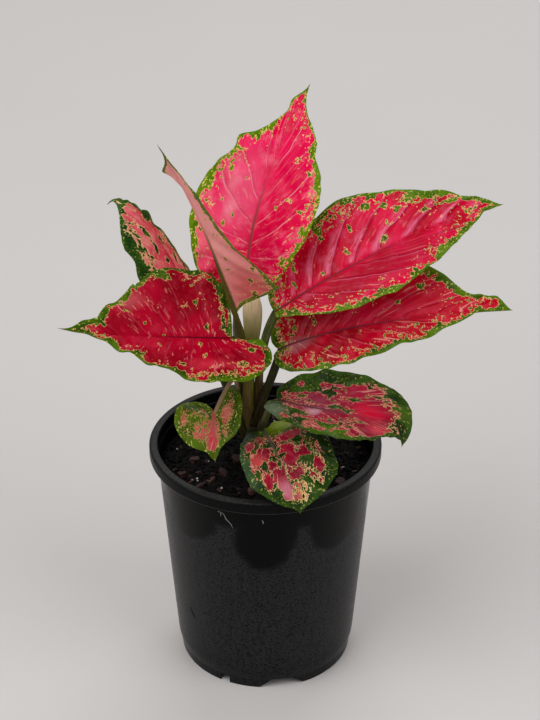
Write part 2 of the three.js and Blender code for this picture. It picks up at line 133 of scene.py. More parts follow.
@dataclass
class Half:
    """One half of a blade: its outline, how it bends, and the relief on it."""
    width: float
    lobe: float             # how far the lobe reaches back past the stalk's end
    belly: float            # the share of the midrib where the half is widest
    full: float             # how far on it stays wide
    sharp: float            # how long its tip is
    fold: tuple             # degrees up from the midrib, from the stalk to the tip
    curl: float = 0.0       # degrees that it turns on from the midrib to the margin
    wave: tuple = (0, 0, 0)  # the edge's waves: their height, how many, and where they start
    bulge: float = 1.2      # how round the lobe is
    bumps: tuple = ()       # (place along the margin, change of width, reach)
    veins: float = 8.6      # how many side veins
    lean: float = 0.14      # how far the veins lean to the tip, as one share or several
    pleat: float = 0.5      # how high the leaf stands up between the veins
    frill: float = 0.5      # how uneven the edge is
    nicks: tuple = ()       # (place along the margin, share of the width, reach)


@dataclass
class Leaf:
    """A leaf: Bezier points of its midrib and stalk, where the blade faces, and its two halves."""
    name: str
    seed: int
    rib: list
    face: list
    stalk: list             # without its last point, which is the midrib's first
    radii: tuple            # of the stalk, at the cane and at the blade
    left: Half
    right: Half
    neck: float = None      # the stalk's radius right under the blade, where it is thinner there
    sheath: tuple = (0.02, 0.16, 0.5, 1.2)  # where its wings begin, are widest and end, and how wide


LEAVES = [
    Leaf(
        "leaf_top", 1,
        rib=[(-10, 18, 253), (-9, 24, 288), (9, 38, 323), (26, 50, 355)],
        face=[(-0.05, -0.85, 0.5), (-0.1, -0.9, 0.4)],
        stalk=[(-8, 4, 156), (-10, 7, 198), (-4.5, 12, 230)],
        radii=(1.5, 2.4),
        sheath=(0.35, 0.74, 0.92, 3.4),
        left=Half(38, 12, 0.2, 0.5, 0.4, (22, 12), -12, (2, 2.2, 0.1), pleat=0.45,
                  bumps=((0.36, -2.5, 0.05), (0.64, -1, 0.03), (0.705, 4.4, 0.034), (0.94, 4, 0.045))),
        right=Half(35, 13, 0.4, 0.55, 0.3, (39, 16, 12), -12, (1, 2.2, 0.1), pleat=0.45,
                   bumps=((0.52, -1.5, 0.06), (0.62, -4, 0.05), (0.85, -1.2, 0.1))),
    ),
    Leaf(
        "leaf_new", 2,
        rib=[(-16, -6, 236), (-28, -11, 275), (-40, -17, 315.5), (-58, -27, 349.5)],
        face=[(0.69, 0.72, 0), (0.9, 0.3, 0.3), (0.9, 0.17, 0.38)],
        stalk=[(-11.4, 4.6, 156), (-15, 4, 180), (-15.5, 0, 205)],
        radii=(1.6, 2), neck=1.7, sheath=(0.02, 0.8, 1.04, 3.2),
        left=Half(34, -6.5, 0.16, 0.12, 0.5, (22, 30, 24), 0, (1, 2, 0), 2.2, pleat=0.3,
                  bumps=((0.88, 4.5, 0.07),)),
        right=Half(19, -4, 0.12, 0.4, 0.35, (45, 30, 10, -115), 40, (1, 2, 0), 1.3, pleat=0.3,
                   bumps=((0.87, 8, 0.045),)),
    ),
    Leaf(
        "leaf_back", 3,
        rib=[(-45, 34, 226), (-57, 46, 250), (-85, 62, 292), (-95, 64, 272)],
        face=[(-0.1, -0.7, 0.7), (-0.3, -0.6, 0.7)],
        stalk=[(-8, 5, 143), (-19, 14, 162), (-31, 20, 192)],
        radii=(2.4, 2.2),
        left=Half(24, 8, 0.3, 0.6, 0.25, (15, 10), bumps=((0.48, -3.5, 0.06),)),
        right=Half(17, 8, 0.3, 0.5, 0.35, (60, 62), 20,
                   bumps=((0.37, 8, 0.07), (0.6, -1.5, 0.12), (0.9, -3, 0.06))),
    ),
    Leaf(
        "leaf_left", 4,
        rib=[(-19, -16, 225), (-45, -20, 228), (-80, -24, 230), (-118, -26, 237)],
        face=[(0, -0.6, 0.8)],
        stalk=[(-10.4, 1.2, 156), (-13, -3, 185), (-6, -13, 221)],
        radii=(1.6, 2.4),
        left=Half(33, 28, 0.08, 0.35, 0.45, (20, 15), -10, (2, 3, 0), 0.75, lean=0.08,
                  bumps=((0.1, -3, 0.06), (0.2, 1.5, 0.06), (0.69, 2.8, 0.03), (0.8, 3, 0.035))),
        right=Half(42, 0.5, 0.3, 0.45, 0.45, (20, 15), -20, (2, 3, 0), pleat=0.7, lean=0.05,
                   bumps=((0.23, 4, 0.1), (0.56, 1, 0.03), (0.65, 2.5, 0.03), (0.79, 3.5, 0.035),
                          (0.9, 2.5, 0.04)),
                   nicks=((0.628, 0.07, 0.007), (0.834, 0.14, 0.006))),
    ),
    Leaf(
        "leaf_right_upper", 5,
        rib=[(6, 0, 234), (45, 10, 259), (95, 20, 280), (137, 22, 292)],
        face=[(-0.1, -0.7, 0.7)],
        stalk=[(-4.6, 4.8, 156), (-4.6, 7, 185), (-3, 0, 215)],
        radii=(1.6, 2.5),
        left=Half(35, 2, 0.33, 0.77, 0.1, (-8, 14, 10), -10, (1, 3, 0), 0.3, pleat=1.15, veins=10,
                  lean=(0.2, 0.15, 0.07, -0.08, -0.13, -0.13),
                  bumps=((0.46, 4, 0.04), (0.62, -3.5, 0.04), (0.73, -3.7, 0.06))),
        right=Half(27, 4, 0.42, 0.55, 0.25, (15, 10), 0, bulge=-0.6,
                   bumps=((0.23, -5.5, 0.09), (0.45, 1.4, 0.05), (0.89, -2, 0.04))),
    ),
    Leaf(
        "leaf_right_lower", 6,
        rib=[(9, 8, 205), (40, 4, 223), (96, -2, 234), (142, -10, 240)],
        face=[(0, -0.7, 0.7)],
        stalk=[(-6.2, 0.6, 156), (-4.2, -1.5, 172), (4, 2, 186)],
        radii=(1.6, 2.6),
        left=Half(34, 6, 0.5, 0.8, 0.1, (15, 10), -10, (1.5, 3, 0.3), pleat=0.85, veins=9.5,
                  lean=(0.2, 0.15, 0.05, -0.08, -0.13, -0.13),
                  bumps=((0.63, -12, 0.09), (0.74, -3, 0.05))),
        right=Half(23, 8, 0.25, 0.4, 0.3, (15, 10),
                   bumps=((0.6, -1.5, 0.03), (0.7, 2.5, 0.035), (0.9, -4, 0.06))),
    ),
    Leaf(
        "leaf_right_low", 7,
        rib=[(8, -26, 190), (34, -45, 192), (84, -62, 201), (76, -70, 185)],
        face=[(0, -0.5, 0.85), (0.1, -0.5, 0.85)],
        stalk=[(-7, 3, 142), (0, -5, 158), (0, -16, 182)],
        radii=(2.2, 2.2),
        left=Half(25, 6, 0.5, 0.7, 0.2, (12, 8), -10, bumps=((0.36, 1.8, 0.12), (0.7, 3.5, 0.12))),
        right=Half(22, 9, 0.5, 0.6, 0.2, (12, 8), bumps=((0.32, -4, 0.1), (0.5, -2.5, 0.08))),
    ),
    Leaf(
        "leaf_front", 8,
        rib=[(-1, -20, 165), (3, -42, 172), (13, -62, 165), (20, -76, 144)],
        face=[(0, -0.4, 0.9), (0, -0.8, 0.6)],
        stalk=[(-9, 3, 139), (-12, -9, 149), (-6, -16, 160)],
        radii=(2.2, 2.2),
        left=Half(33, 10, 0.6, 0.7, 0.2, (12, 10), -10, veins=7,
                  bumps=((0.44, -3, 0.08), (0.78, 1.5, 0.08))),
        right=Half(23, 12, 0.5, 0.65, 0.2, (-16, 6, 10), -10, veins=7,
                   bumps=((0.33, -2.5, 0.1), (0.78, 1.5, 0.08))),
    ),
    Leaf(
        "leaf_small", 9,
        rib=[(-30, -18, 176), (-30, -26, 173), (-30, -33, 164), (-29, -36, 153)],
        face=[(0, -0.6, 0.8), (0, -0.9, 0.4)],
        stalk=[(-9, 3, 139), (-22, 2, 170), (-9.3, -6, 220)],
        radii=(1.9, 1.2),
        left=Half(17, 20.5, 0.3, 0.5, 0.3, (15, 10), -10, veins=6, pleat=0.25, frill=0.2,
                  bumps=((0.07, 3.8, 0.07), (0.28, 2, 0.09), (0.46, -1.2, 0.06), (0.65, -5.4, 0.16))),
        right=Half(24, 8, 0.3, 0.5, 0.3, (15, 10), -10, veins=6, pleat=0.25, frill=0.2,
                   bumps=((0.06, 1.2, 0.05), (0.28, 1.2, 0.08), (0.45, -1, 0.06), (0.55, -2, 0.1),
                          (0.77, -3, 0.08))),
    ),
]


def unit(v):
    return v / np.maximum(np.linalg.norm(v, axis=-1, keepdims=True), 1e-12)


def circle(sides):
    return 2 * np.pi * np.arange(sides) / sides


def bezier(points, t):
    a, b, c, d = np.asarray(points, float)
    t = np.asarray(t, float)[:, None]
    m = 1 - t
    return m ** 3 * a + 3 * m ** 2 * t * b + 3 * m * t ** 2 * c + t ** 3 * d


def bezier_forward(points, t):
    a, b, c, d = np.asarray(points, float)
    t = np.asarray(t, float)[:, None]
    m = 1 - t
    return unit(3 * m ** 2 * (b - a) + 6 * m * t * (c - b) + 3 * t ** 2 * (d - c))


def measured(points, count):
    """Even shares of a Bezier curve, and how long it is up to each."""
    t = np.linspace(0, 1, count)
    steps = np.linalg.norm(np.diff(bezier(points, t), axis=0), axis=1)
    return t, np.concatenate([[0], np.cumsum(steps)])


def along(values, share):
    """The value at a share of the way along a list spread evenly, for numbers or for vectors."""
    values = np.atleast_1d(np.asarray(values, float))
    place = np.clip(share, 0, 1) * (len(values) - 1)
    first = np.minimum(place.astype(int), max(len(values) - 2, 0))
    rest = place - first
    if values.ndim > 1:
        rest = rest[:, None]
    return values[first] * (1 - rest) + values[np.minimum(first + 1, len(values) - 1)] * rest


def smooth(value, low, high):
    t = np.clip((value - low) / (high - low), 0, 1)
    return t * t * (3 - 2 * t)


def ripples(rng, place, low, high, terms=7):
    """A smooth line that wavers about 0, by 1 on the whole, in waves between low and high a unit."""
    total = np.zeros_like(place)
    for wave in np.linspace(low, high, terms) * rng.uniform(0.9, 1.1, terms):
        total += math.sqrt(2 / terms) * np.sin(2 * np.pi * (wave * place + rng.random()))
    return total


@lru_cache
def lump_grid(seed, cells=97):
    return np.random.default_rng(seed).random((cells, cells))


def lumps(seed, x, y, size):
    """Smooth lumps between 0 and 1, about size across."""
    grid = lump_grid(seed)
    u, v = x / size + 40, y / size + 40
    i, j = np.floor(u).astype(int), np.floor(v).astype(int)
    a, b = smooth(u - i, 0, 1), smooth(v - j, 0, 1)
    i, j = i % len(grid), j % len(grid)
    p, q = (i + 1) % len(grid), (j + 1) % len(grid)
    low = grid[i, j] * (1 - a) + grid[p, j] * a
    high = grid[i, q] * (1 - a) + grid[p, q] * a
    return low * (1 - b) + high * b


def seeded_draws(seed):
    """The run of draws that the part's source uses for its soil."""
    state = seed
    while True:
        state = (state * 1664525 + 1013904223) & 0xFFFFFFFF
        yield state / 4294967296


class Shell:
    """Collects vertices, the faces with their materials and UV corners, and what materials read."""

    def __init__(self):
        self.points, self.faces, self.kinds, self.uvs = [], [], [], []
        self.fields = {}
        self.count = 0

    def add(self, points, faces, kinds=0, uvs=None, **fields):
        self.faces += [[i + self.count for i in face] for face in faces]
        self.kinds += np.broadcast_to(kinds, len(faces)).tolist()
        self.uvs += uvs or [None] * len(faces)
        self.points.append(points)
        for name, values in fields.items():
            values = np.atleast_1d(np.asarray(values, float))
            values = values.reshape(len(values), -1)
            self.fields.setdefault(name, []).append(np.repeat(values, len(points) // len(values), 0))
        self.count += len(points)

    def build(self, name, materials, sharp=None):
        mesh = bpy.data.meshes.new(name)
        mesh.from_pydata((np.concatenate(self.points) * MM).tolist(), [], self.faces)
        for field, parts in self.fields.items():
            values = np.concatenate(parts)
            kind, target = ("FLOAT_VECTOR", "vector") if values.shape[1] == 3 else ("FLOAT", "value")
            layer = mesh.attributes.new(field, kind, "POINT")
            layer.data.foreach_set(target, values.astype(np.float32).ravel())
        if all(corners is not None for corners in self.uvs):
            layer = mesh.uv_layers.new(name="OFBake")
            layer.data.foreach_set("uv", np.concatenate(self.uvs).astype(np.float32).ravel())
        for material in materials:
            mesh.materials.append(material)
        mesh.polygons.foreach_set("material_index", self.kinds)
        mesh.polygons.foreach_set("use_smooth", [True] * len(mesh.polygons))
        if sharp is not None:
            mesh.set_sharp_from_angle(angle=math.radians(sharp))
        mesh.validate()
        mesh.update()
        piece = bpy.data.objects.new(name, mesh)
        bpy.context.scene.collection.objects.link(piece)
        return piece


def grid_faces(grid, flip=False):
    """Four-cornered faces over a grid of vertex numbers; corners that fall together are dropped."""
    quads = np.stack([grid[:-1, :-1], grid[:-1, 1:], grid[1:, 1:], grid[1:, :-1]], -1)
    faces = []
    for quad in quads.reshape(-1, 4).tolist():
        corners = [c for i, c in enumerate(quad) if c != quad[i - 1]]
        if len(corners) > 2:
            faces.append(corners[::-1] if flip else corners)
    return faces


def tube(rings, closed_ends=True):
    """A tube through rings of as many points each, with or without its two ends."""
    rings = np.asarray(rings, float)
    numbers = np.arange(rings.shape[0] * rings.shape[1]).reshape(rings.shape[:2])
    faces = grid_faces(np.concatenate([numbers, numbers[:, :1]], 1))
    if closed_ends:
        faces += [numbers[0].tolist(), numbers[-1, ::-1].tolist()]
    return rings.reshape(-1, 3), faces


def thread(centre, outward, radius, sides, thinning):
    """A closed thread along a line, thinner towards its ends."""
    forward = unit(np.gradient(centre, axis=0))
    side = unit(np.cross(forward, outward))
    up = np.cross(side, forward)
    turn = circle(sides)
    size = radius * (1 - thinning * np.abs(np.linspace(-1, 1, len(centre))))[:, None]
    return tube(centre[:, None] + side[:, None] * (size * np.cos(turn))[..., None]
                + up[:, None] * (size * np.sin(turn))[..., None])


def lathe(profile, sides, x=0.0, y=0.0):
    """A closed turned form; the profile starts and ends on the axis."""
    turn = circle(sides)
    rings = [np.stack([x + r * np.cos(turn), y + r * np.sin(turn), np.full(sides, z)], 1)
             for r, z in profile[1:-1]]
    points, faces = tube(rings, False)
    low, high = len(points), len(points) + 1
    points = np.concatenate([points, [(x, y, profile[0][1]), (x, y, profile[-1][1])]])
    last = (len(rings) - 1) * sides
    for i in range(sides):
        j = (i + 1) % sides
        faces += [[low, j, i], [high, last + i, last + j]]
    return points, faces


class Rib:
    """A leaf's midrib by its length, with the blade's facing along it."""

    def __init__(self, leaf):
        self.points = leaf.rib
        self.face = [unit(np.asarray(f, float)) for f in leaf.face]
        self.t, self.run = measured(leaf.rib, RIB_SAMPLES)
        self.length = self.run[-1]

    def frame(self, x):
        """The midrib's place, direction, facing and right-hand side at lengths along it."""
        t = np.interp(x, self.run, self.t)
        centre = bezier(self.points, t)
        forward = bezier_forward(self.points, t)
        centre = centre + np.minimum(x, 0)[:, None] * forward
        face = along(self.face, x / self.length)
        facing = unit(face - (face * forward).sum(-1, keepdims=True) * forward)
        return centre, forward, facing, np.cross(forward, facing)


def margin_of(side, length, vein):
    """The flat margin of a half at a share of the way from the stalk to the tip."""
    width, lobe, widest = side.width, side.lobe, side.belly * length
    rest = length - widest
    rounding = [(0, 0), (-1.35 * lobe, 0.02 * width), (-side.bulge * lobe, width), (widest, width)]
    taper = [(widest, width), (widest + side.full * rest, width),
             (length - side.sharp * rest, 0.03 * width), (length, 0)]
    low = bezier(rounding, np.clip(vein / MARGIN_SPLIT, 0, 1))
    high = bezier(taper, np.clip((vein - MARGIN_SPLIT) / (1 - MARGIN_SPLIT), 0, 1))
    edge = np.where((vein < MARGIN_SPLIT)[:, None], low, high)
    free = np.minimum(1, 12 * np.minimum(vein, 1 - vein))
    for place, change, reach in side.bumps:
        edge[:, 1] += free * change * np.exp(-((vein - place) / reach) ** 2)
    edge[:, 1] = np.maximum(edge[:, 1], 0)
    for place, depth, reach in side.nicks:
        edge[:, 1] *= 1 - depth * np.exp(-((vein - place) / reach) ** 2)
    return edge


def half_surface(leaf, rib, side, sign, vein, out):
    """Points, normals and pattern places of one half over flat lists of vein and out shares."""
    rng = np.random.default_rng(leaf.seed * 10 + (sign > 0))
    edge = margin_of(side, rib.length, vein)
    ends = smooth(vein, 0.0, 0.1) * (1 - smooth(vein, 0.88, 1.0))
    edge[:, 1] *= 1 + 0.012 * side.frill * ripples(rng, vein, 6, 22) * ends
    root = rib.length * vein ** 1.9
    x = root + (edge[:, 0] - root) * out ** 1.25
    y = edge[:, 1] * out
    centre, forward, facing, sideways = rib.frame(x)
    share = x / rib.length
    fold = np.radians(along(side.fold, share))
    bend = math.radians(side.curl or 0.001) / side.width
    angle = fold + bend * y
    lateral = (np.sin(angle) - np.sin(fold)) / bend
    height = (np.cos(fold) - np.cos(angle)) / bend
    normal = facing * np.cos(angle)[:, None] - sign * sideways * np.sin(angle)[:, None]
    rise, waves, start = side.wave
    lift = rise * (y / side.width) ** 2 * np.sin(2 * np.pi * (waves * share + start))

    # Each strip between two side veins stands up and drops steeply to the next one
    strip = side.veins * (vein - along(side.lean, vein) * out ** 0.75)
    part = strip - np.floor(strip)
    swell = 1.75 * np.maximum(part, 0) ** 0.75 * np.maximum(1 - part, 0) ** 0.45 - 0.6
    reach = smooth(out, 0.02, 0.2) * (1 - smooth(out, 0.72, 1.0)) * ends
    lift += side.pleat * swell * reach
    lift += side.frill * ripples(rng, vein, 5, 14) * smooth(out, 0.55, 1.0) * ends
    lift += 0.22 * ripples(rng, (x + 0.7 * y) / 100, 4, 9) * smooth(out, 0, 0.2) * ends
    point = centre + sign * sideways * lateral[:, None] + facing * height[:, None]
    point += normal * lift[:, None]
    shared = (out == 0) | (vein == 0) | (vein == 1)
    normal = np.where(shared[:, None], facing, normal)
    return point, normal, x, sign * y, strip, share


def margin_distance(leaf, rib, x, y):
    """How far flat places lie from the margin."""
    vein = np.linspace(0, 1, MARGIN_SAMPLES)
    line = np.concatenate([margin_of(leaf.left, rib.length, vein) * (1, -1),
                           margin_of(leaf.right, rib.length, vein)])
    rows = zip(x.reshape(ROWS + 1, -1, 1), y.reshape(ROWS + 1, -1, 1))
    return np.concatenate([np.hypot(a - line[:, 0], b - line[:, 1]).min(1) for a, b in rows])


def add_blade(shell, leaf, rib):
    """The blade as a closed sheet, whose midrib is a groove above and a ridge below."""
    rows = np.linspace(0, 1, ROWS + 1)
    vein, out = (a.ravel() for a in np.meshgrid(rows, COLUMNS, indexing="ij"))
    halves = [half_surface(leaf, rib, side, sign, vein, out)
              for side, sign in ((leaf.left, -1), (leaf.right, 1))]

    def whole(index):
        """Both halves of one field side by side, from the left margin to the right one."""
        left, right = (fields[index].reshape(ROWS + 1, len(COLUMNS), -1) for fields in halves)
        joined = np.concatenate([left[:, :0:-1], right], 1)
        return joined.reshape(-1, joined.shape[-1])

    point, normal = whole(0), whole(1)
    x, y, strip, share = (whole(i)[:, 0] for i in (2, 3, 4, 5))
    outs = np.tile(np.concatenate([COLUMNS[:0:-1], COLUMNS]), ROWS + 1)
    veins = np.repeat(rows, 2 * len(COLUMNS) - 1)
    away = np.where(outs == 1, 0, margin_distance(leaf, rib, x, y))
    taper = smooth(veins, 0, 0.012) * (1 - smooth(veins, 0.985, 1.0))
    half_thick = LEAF_THICKNESS / 2 * np.sqrt(np.clip(1 - outs ** 40, 0, 1)) * taper
    fade = np.clip(1 - share, 0, 1)
    groove = GROOVE_DEPTH * np.exp(-(y / GROOVE_WIDTH) ** 2) * fade ** 0.5 * taper
    ridge = RIDGE_DEPTH * np.exp(-(y / RIDGE_WIDTH) ** 2) * fade * taper
    upper = point + normal * (half_thick - groove)[:, None]
    lower = point - normal * (half_thick + ridge)[:, None]

    # The two faces share their margins, and each end of the midrib is one point
    top = np.arange(len(veins)).reshape(ROWS + 1, -1)
    bottom = top + len(veins)
    bottom[:, 0], bottom[:, -1] = top[:, 0], top[:, -1]
    for grid in (top, bottom):
        grid[0, :] = top[0, 0]
        grid[-1, :] = top[-1, 0]
    used = np.unique([top, bottom])
    number = np.full(2 * len(veins), -1)
    number[used] = np.arange(len(used))
    flat = np.tile(np.stack([x, y, away], 1), (2, 1))[used]
    run = np.tile(np.stack([strip, y, share], 1), (2, 1))[used]
    chart = (flat[:, :2] + (30, 48)) / 200
    faces, kinds, uvs = [], [], []
    for kind, grid, flip, move in ((0, top, True, 0.0), (1, bottom, False, 0.48)):
        made = grid_faces(number[grid], flip)
        faces += made
        kinds += [kind] * len(made)
        uvs += [chart[face] + (0, move) for face in made]
    shell.add(np.concatenate([upper, lower])[used], faces, kinds, uvs, leaf_flat=flat, leaf_run=run)


def add_stalk(shell, leaf, rib):
    """The stalk from the cane up to the blade, and on under it as a keel that dies away."""
    line = leaf.stalk + leaf.rib[:1]
    t, steps = measured(line, STALK_SAMPLES)
    up = np.linspace(0, 1, STALK_RINGS + 1)
    where = np.interp(up * steps[-1], steps, t)
    base, top = leaf.radii
    neck = leaf.neck or top
    radius = base + (top - base) * np.minimum(1, 1.6 * up)
    radius *= 1 - (1 - neck / top) * smooth(up, 0.85, 1.0)
    first_facing = rib.frame(np.zeros(1))[2]
    centre = bezier(line, where) - first_facing * (0.95 * neck * up ** 8)[:, None]

    on = np.linspace(0, 1, KEEL_RINGS + 1)[1:]
    keel_centre, keel_forward, keel_facing, _ = rib.frame(on * KEEL_REACH * rib.length)
    keel_radius = neck * (1 - on) ** 0.8 + 0.12
    keel_centre = keel_centre - keel_facing * (0.95 * keel_radius + 0.05)[:, None]
    centre = np.concatenate([centre, keel_centre])
    forward = np.concatenate([bezier_forward(line, where), keel_forward])
    radius = np.concatenate([radius, keel_radius])
    share = np.concatenate([up, 1 + on])

    away = unit(np.asarray(leaf.face[0], float))
    facing = unit(away - (forward @ away)[:, None] * forward)
    sideways = np.cross(forward, facing)
    begin, widest, end, width = leaf.sheath
    wing = width * smooth(share, begin, widest) * (1 - smooth(share, widest, end))
    turn = circle(STALK_SIDES)
    cos, sin = np.cos(turn), np.sin(turn)
    spread = wing / (wing + radius)
    across = (radius + wing)[:, None] * cos
    thin = 1 - 0.72 * spread[:, None] * np.abs(cos) ** 1.3
    channel = 0.3 * smooth(share, 0.3, 0.6)[:, None] * np.clip(sin, 0, 1) ** 3
    depth = radius[:, None] * sin * (thin - channel)
    depth += 0.35 * wing[:, None] * cos ** 2
    points, faces = tube(centre[:, None] + sideways[:, None] * across[..., None]
                         + facing[:, None] * depth[..., None])
    distance = np.where(share <= 1, share * steps[-1], steps[-1] + (share - 1) * KEEL_REACH * rib.length)
    flat = np.stack([np.repeat(distance, STALK_SIDES), across.ravel(),
                     np.repeat(spread, STALK_SIDES)], 1)
    run = np.stack([np.tile(turn / (2 * np.pi), len(share)), np.tile(sin, len(share)),
                    np.repeat(share, STALK_SIDES)], 1)

    # The chart has the stalk's wall as a strip above the blade's two faces, and its ends beside it
    uvs = []
    for face in faces:
        ring, step = np.divmod(face, STALK_SIDES)
        if len(face) == 4:
            if step.max() == STALK_SIDES - 1:
                step[step == 0] = STALK_SIDES
            corners = (0.02 + distance[ring] / 220, 0.95 + 0.045 * step / STALK_SIDES)
        else:
            middle = 0.985 if face[0] >= STALK_SIDES else 0.005
            corners = (middle + 0.004 * cos[step], 0.97 + 0.004 * sin[step])
        uvs.append(np.stack(corners, 1))
    shell.add(points, faces, 2, uvs, leaf_flat=flat, leaf_run=run)


def shade(*rgb):
    """A colour given as it looks on a screen, 0 to 255, as the linear colour that materials take."""
    channels = [c / 255 for c in rgb]
    linear = [c / 12.92 if c <= 0.04045 else ((c + 0.055) / 1.055) ** 2.4 for c in channels]
    return (*linear, 1.0)


class Value:
    """What varies over a surface. Sums, differences, products and quotients of it are new nodes."""

    def __init__(self, graph, socket):
        self.graph = graph
        self.socket = socket

    def __add__(self, other):
        return self.graph.math("ADD", self, other)

    def __sub__(self, other):
        return self.graph.math("SUBTRACT", self, other)

    def __rsub__(self, other):
        return self.graph.math("SUBTRACT", other, self)

    def __mul__(self, other):
        return self.graph.math("MULTIPLY", self, other)

    def __truediv__(self, other):
        return self.graph.math("DIVIDE", self, other)


class Graph:
    """Adds nodes to a new material and joins them."""

    def __init__(self, name):
        self.material = bpy.data.materials.new(name)
        self.material.use_nodes = True
        self.tree = self.material.node_tree
        self.shader = next(n for n in self.tree.nodes if n.type == "BSDF_PRINCIPLED")

    def feed(self, socket, source):
        if isinstance(source, Value):
            self.tree.links.new(source.socket, socket)
        else:
            socket.default_value = source

    def node(self, kind, *sources, output=0, named=(), **settings):
        """A new node's output. Its first inputs are fed in order, and others by number or name."""
        node = self.tree.nodes.new("ShaderNode" + kind)
        for key, value in settings.items():
            setattr(node, key, value)
        for key, source in (*enumerate(sources), *dict(named).items()):
            self.feed(node.inputs[key], source)
        return Value(self, node.outputs[output])

    def attribute(self, name, output="Vector"):
        return self.node("Attribute", attribute_name=name, output=output)

    def place(self):
        """Object coordinates in millimetres."""
        return self.scaled(self.node("TexCoord", output="Object"), (1000, 1000, 1000))

    def vector(self, operation, *sources, output=0):
        return self.node("VectorMath", *sources, operation=operation, output=output)

    def scaled(self, vector, scale):
        return self.vector("MULTIPLY", vector, scale)

    def split(self, vector):
        """The three parts of a vector."""
        outputs = self.node("SeparateXYZ", vector).socket.node.outputs
        return [Value(self, part) for part in outputs]

    def join(self, x, y, z):
        return self.node("CombineXYZ", x, y, z)

    def math(self, operation, *sources):
        return self.node("Math", *sources, operation=operation)

    def step(self, value, low, high, start=0.0, end=1.0):
        """A soft step from start to end while the value goes from low to high."""
        return self.node("MapRange", value, low, high, start, end, interpolation_type="SMOOTHSTEP")

    def noise(self, vector, scale, detail=2.0, roughness=0.5, distortion=0.0, output=0):
        named = {"Scale": scale, "Detail": detail, "Roughness": roughness, "Distortion": distortion}
        return self.node("TexNoise", vector, named=named, output=output)

    def jostled(self, vector, place, scale, reach):
        """A vector pushed about by a noise at a place, by up to half its reach each way."""
        push = self.noise(place, scale, output=1)
        push = self.vector("MULTIPLY_ADD", push, (reach, reach, 0), (-reach / 2, -reach / 2, 0))
        return self.vector("ADD", vector, push)

    def spot(self, plane, x, y, reach_x, reach_y, strength, near=0.15, far=1.15):
        """Strength at a place on a plane, falling to 0 between two shares of its reach."""
        moved = self.vector("MULTIPLY_ADD", plane, (1 / reach_x, 1 / reach_y, 0),
                            (-x / reach_x, -y / reach_y, 0))
        return self.step(self.vector("LENGTH", moved, output="Value"), near, far, strength, 0)

    def mix(self, share, first, second):
        return self.node("Mix", share, named={6: first, 7: second}, output=2, data_type="RGBA")

    def bump(self, height, strength, distance):
        return self.node("Bump", named={"Strength": strength, "Distance": distance, "Height": height})

    def finish(self, colour, roughness, normal, specular=0.5, ior=1.5):
        for name, source in (("IOR", ior), ("Base Color", colour), ("Roughness", roughness),
                             ("Normal", normal), ("Specular IOR Level", specular)):
            self.feed(self.shader.inputs[name], source)
        return self.material


# How a leaf is coloured, unless LOOKS says otherwise. Tones are as on a screen, lengths in millimetres.
# Each leaf has its own flesh and deep, the two reds, green and dark, the two greens, and patches and
# washes. A patch lifts the field that green grows from: it is a place on the flat blade (along the
# midrib, and across it with the left half below zero), its reach along and across, and the lift. Each
# wash over the flesh, and each of greens, has a place, its reach, a tone and how strong it is.
BASE_LOOK = dict(
    # Over the reds: pale mottling, flecks drawn along the veins, and the midrib, with its half width and
    # the share of the leaf by which it has faded
    pale=(244, 110, 140), fleck_tone=(240, 168, 150), rib=(120, 22, 50), rib_half=0.7, rib_end=0.8,
    # How strong the mottling, pale vein lines, painted shade in the hollows beside the veins and painted
    # sheen in stripes between the veins are; flecks come where noise passes streaks
    mottle=0.25, lines=0.5, valley=0.3, bands=0.0, streaks=0.64,
    # Yellowish specks on the green, how strong and from which noise on, other tones over the green, and
    # the pale rim round it: its tone, its width on the field, and how yellow it is near the tip
    fleck=(206, 208, 104), specks=0.75, speck_from=0.6, greens=(), outline_tone=(238, 196, 130),
    outline=0.07, tip_rim=0.3,
    # Green is where a field passes the threshold. The margin lifts the field by edge as far in as
    # margin, give or take uneven, and tip makes that narrower at the tip. Zone_lift goes further in.
    threshold=0.84, margin=5.0, edge=0.5, uneven=1.6, tip=1.0, zone=13.0, zone_lift=0.1,
    # The field's blotches (how many a millimetre, how much, how twisted, and longer along the leaf the
    # further drawn is below 1), its ragged edges (how much, how fine), its freckles near the margin and
    # further in, and its lift along the veins
    blotch=0.3, amount=1.05, swirl=0.35, drawn=1.0, ragged=0.36, grain=1.1, freckles=0.5,
    inner_freckles=0.12, vein_lift=0.05,
    # The underside's tone, how much of it shows on the flesh and on the green, washes over its flesh,
    # and the ridge under the midrib; sheen is how much light both faces throw back
    under_tone=(200, 124, 116), under_mix=0.7, under_green=0.2, under_washes=(),
    ridge_tone=(110, 108, 52), sheen=0.13,
)

